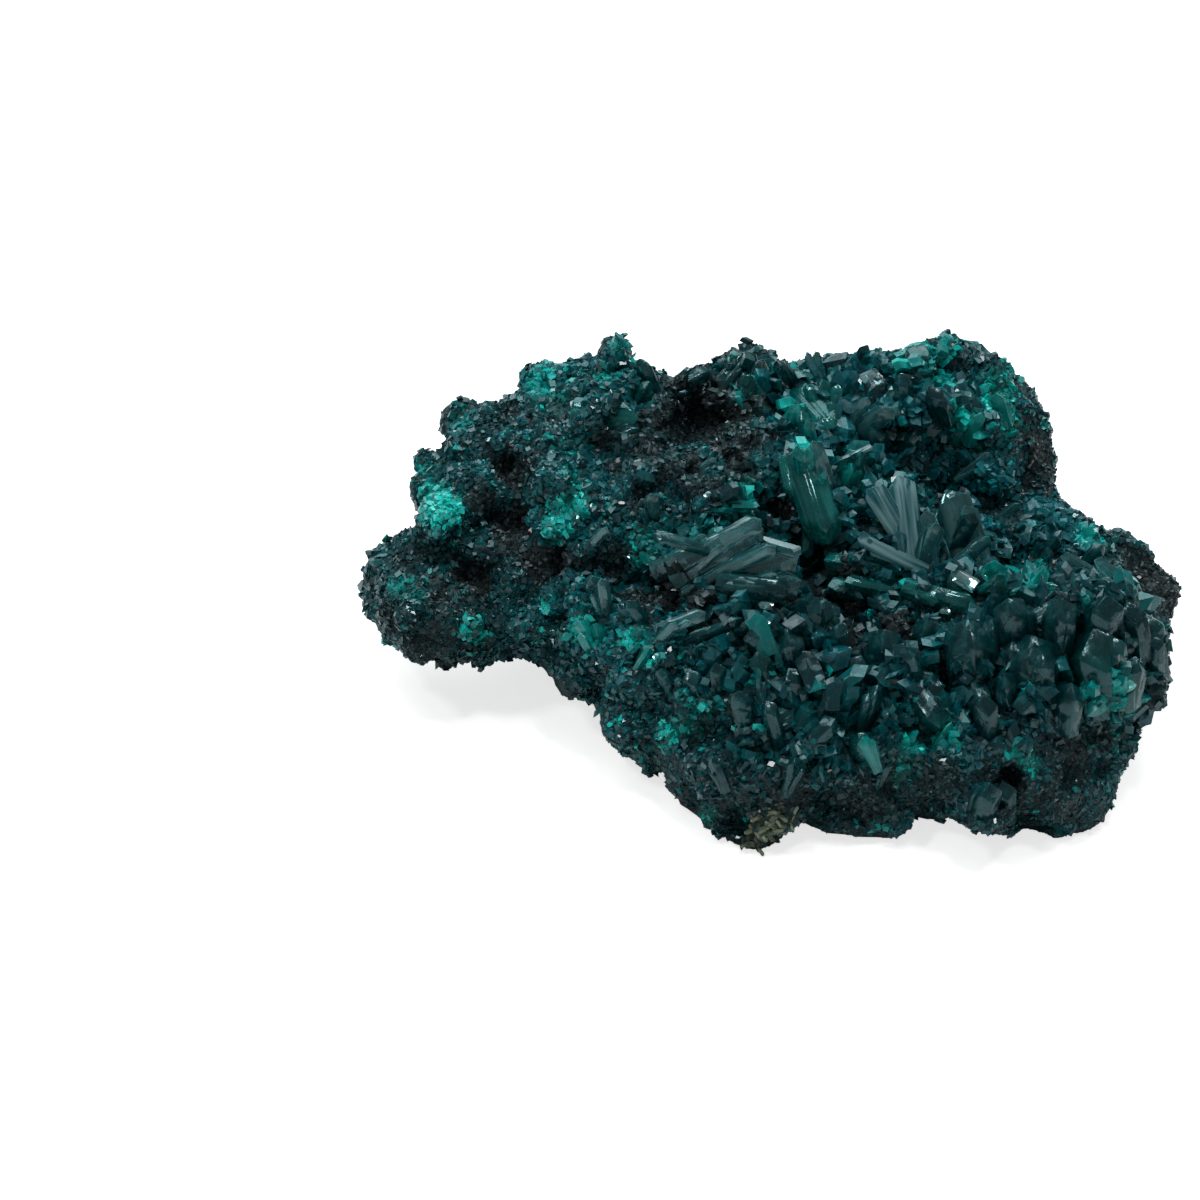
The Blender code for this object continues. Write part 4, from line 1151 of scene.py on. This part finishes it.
# what most of them share, and what each has of its own
dioptase = {
    "ior": 1.66, "density": 300.0, "lines": 3000.0, "streaks": 0.6, "gloss": 0.5, "coatRoughness": 0.05,
}
clearLooks = {
    "bladeCrystal": {
        "dark": (0.008, 0.22, 0.26, 1), "pale": (0.55, 0.95, 1.0, 1), "absorbed": (0.3, 0.9, 0.88, 1),
        "clear": 0.52, "stretch": 0.05, "streaks": 1.0, "cells": 700.0, "edgeLight": 2.0, "relief": 0.3,
        "cellRelief": 0.12, "roughness": (0.02, 0.12), "coat": 0.5, "coatRoughness": 0.04,
    },
    "footCrystal": {
        "dark": (0.1, 0.13, 0.06, 1), "pale": (0.5, 0.54, 0.34, 1), "absorbed": (0.8, 0.9, 0.6, 1),
        "clear": 0.45, "density": 200.0, "stretch": 0.1, "streaks": 0.5, "cells": 2500.0, "edgeLight": 1.0,
        "relief": 0.3, "cellRelief": 0.3, "roughness": (0.15, 0.4), "coat": 0.3, "coatRoughness": 0.1,
    },
    "glintCrystal": {
        "dark": (0.1, 0.45, 0.48, 1), "pale": (0.85, 1.0, 1.0, 1), "absorbed": (0.35, 0.9, 0.88, 1),
        "clear": 0.75, "lines": 1000.0, "stretch": 0.1, "streaks": 0.0, "cells": 1000.0, "edgeLight": 0.0,
        "relief": 0.02, "cellRelief": 0.02, "roughness": (0.02, 0.06), "gloss": 1.0, "coat": 1.0,
        "coatRoughness": 0.03,
    },
    "paleCrystal": {
        "dark": (0.004, 0.17, 0.19, 1), "pale": (0.22, 0.72, 0.76, 1), "absorbed": (0.25, 0.88, 0.86, 1),
        "clear": 0.8, "lines": 2000.0, "stretch": 0.07, "streaks": 0.4, "cells": 800.0, "edgeLight": 7.0,
        "relief": 0.12, "cellRelief": 0.35, "roughness": (0.03, 0.15), "coat": 1.0, "coatRoughness": 0.04,
    },
    "greenCrystal": {
        "dark": (0.003, 0.27, 0.26, 1), "pale": (0.05, 0.75, 0.72, 1), "absorbed": (0.03, 0.88, 0.78, 1),
        "clear": 0.78, "stretch": 0.06, "cells": 900.0, "edgeLight": 1.5, "relief": 0.5, "cellRelief": 0.15,
        "roughness": (0.04, 0.2), "gloss": 0.3, "coat": 0.1,
    },
    "brightCrystal": {
        "dark": (0.003, 0.26, 0.25, 1), "pale": (0.02, 0.7, 0.65, 1), "absorbed": (0.03, 0.88, 0.82, 1),
        "clear": 0.5, "stretch": 0.08, "cells": 1800.0, "edgeLight": 1.0, "relief": 0.4, "cellRelief": 0.4,
        "roughness": (0.06, 0.25), "gloss": 0.4, "coat": 0.4,
    },
    "smokyCrystal": {
        "dark": (0.002, 0.12, 0.14, 1), "pale": (0.03, 0.4, 0.44, 1), "absorbed": (0.08, 0.78, 0.8, 1),
        "clear": 0.84, "lines": 2200.0, "stretch": 0.12, "cells": 1200.0, "edgeLight": 3.0, "relief": 0.3,
        "cellRelief": 0.4, "roughness": (0.1, 0.3), "gloss": 0.3, "coat": 0.15, "coatRoughness": 0.08,
    },
}
rockLook = {
    "coarse": 2200.0, "fine": 4500.0, "speckleAndGapShade": (0.3, 0.7), "roughness": (0.25, 0.6), "relief": 1.0,
    "ior": 1.5, "gloss": 0.4, "coat": 0.3, "coatRoughness": 0.12,
}
materials = {name: clearFinish(name, dioptase | look) for name, look in clearLooks.items()}
materials["grain"] = druseFinish("druseGrain", druseLooks["druseGrain"])
materials["prism"] = druseFinish("drusePrism", druseLooks["drusePrism"])
pieces["matrixCrust"].data.materials.append(rockFinish("rockCrust", rockLook))
for name, look in (*largeCrystals.items(), *mediumCrystals.items()):
    pieces[name].data.materials.append(materials[look["finish"]])
for name, look in druse.items():
    pieces[name].data.materials.append(materials[look["form"]])

for name, piece in pieces.items():
    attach(piece, "root")
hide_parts("dioptase_specimen")
print("materials done")

# floor, light and camera
deselectAll()
bpy.ops.mesh.primitive_plane_add(size=studio["floorSize"])
floor = bpy.context.object
floor.name = "studioFloor"
material, tree, shader = newMaterial("palePaper")
setInputs(shader, {"Base Color": (0.9, 0.9, 0.9, 1), "Roughness": 0.9, "Emission Color": (1, 1, 1, 1)})
seen = addNode(tree, "ShaderNodeLightPath").outputs["Is Camera Ray"]
tree.links.new(scalar(tree, "MULTIPLY", seen, studio["floorGlow"]), shader.inputs["Emission Strength"])
floor.data.materials.append(material)

for name, look in studio["lights"].items():
    data = bpy.data.lights.new(name, "AREA")
    data.shape = "SQUARE"
    data.size = look["size"]
    data.energy = look["watts"]
    data.color = look["colour"]
    lamp = linkNew(name, data)
    lamp.location = look["place"]
    lamp.rotation_euler = (lamp.location - Vector(studio["lit"])).to_track_quat("Z", "Y").to_euler()
world = bpy.data.worlds.new("studio")
bpy.context.scene.world = world
world.use_nodes = True
worldTree = world.node_tree
background = worldTree.nodes["Background"]
background.inputs["Color"].default_value = (1, 1, 1, 1)
seen = addNode(worldTree, "ShaderNodeLightPath").outputs["Is Camera Ray"]
glow = scalar(worldTree, "MAXIMUM", seen, studio["world"])
worldTree.links.new(glow, background.inputs["Strength"])
bpy.context.scene.view_settings.view_transform = "Standard"

camera = linkNew("photoCamera", bpy.data.cameras.new("photoCamera"))
camera.data.lens = photo["lens"]
camera.data.sensor_width = photo["sensor"]
camera.data.clip_start = 0.01
camera.location = eye
camera.rotation_euler = backwards.to_track_quat("Z", "Y").to_euler()
bpy.context.scene.camera = camera
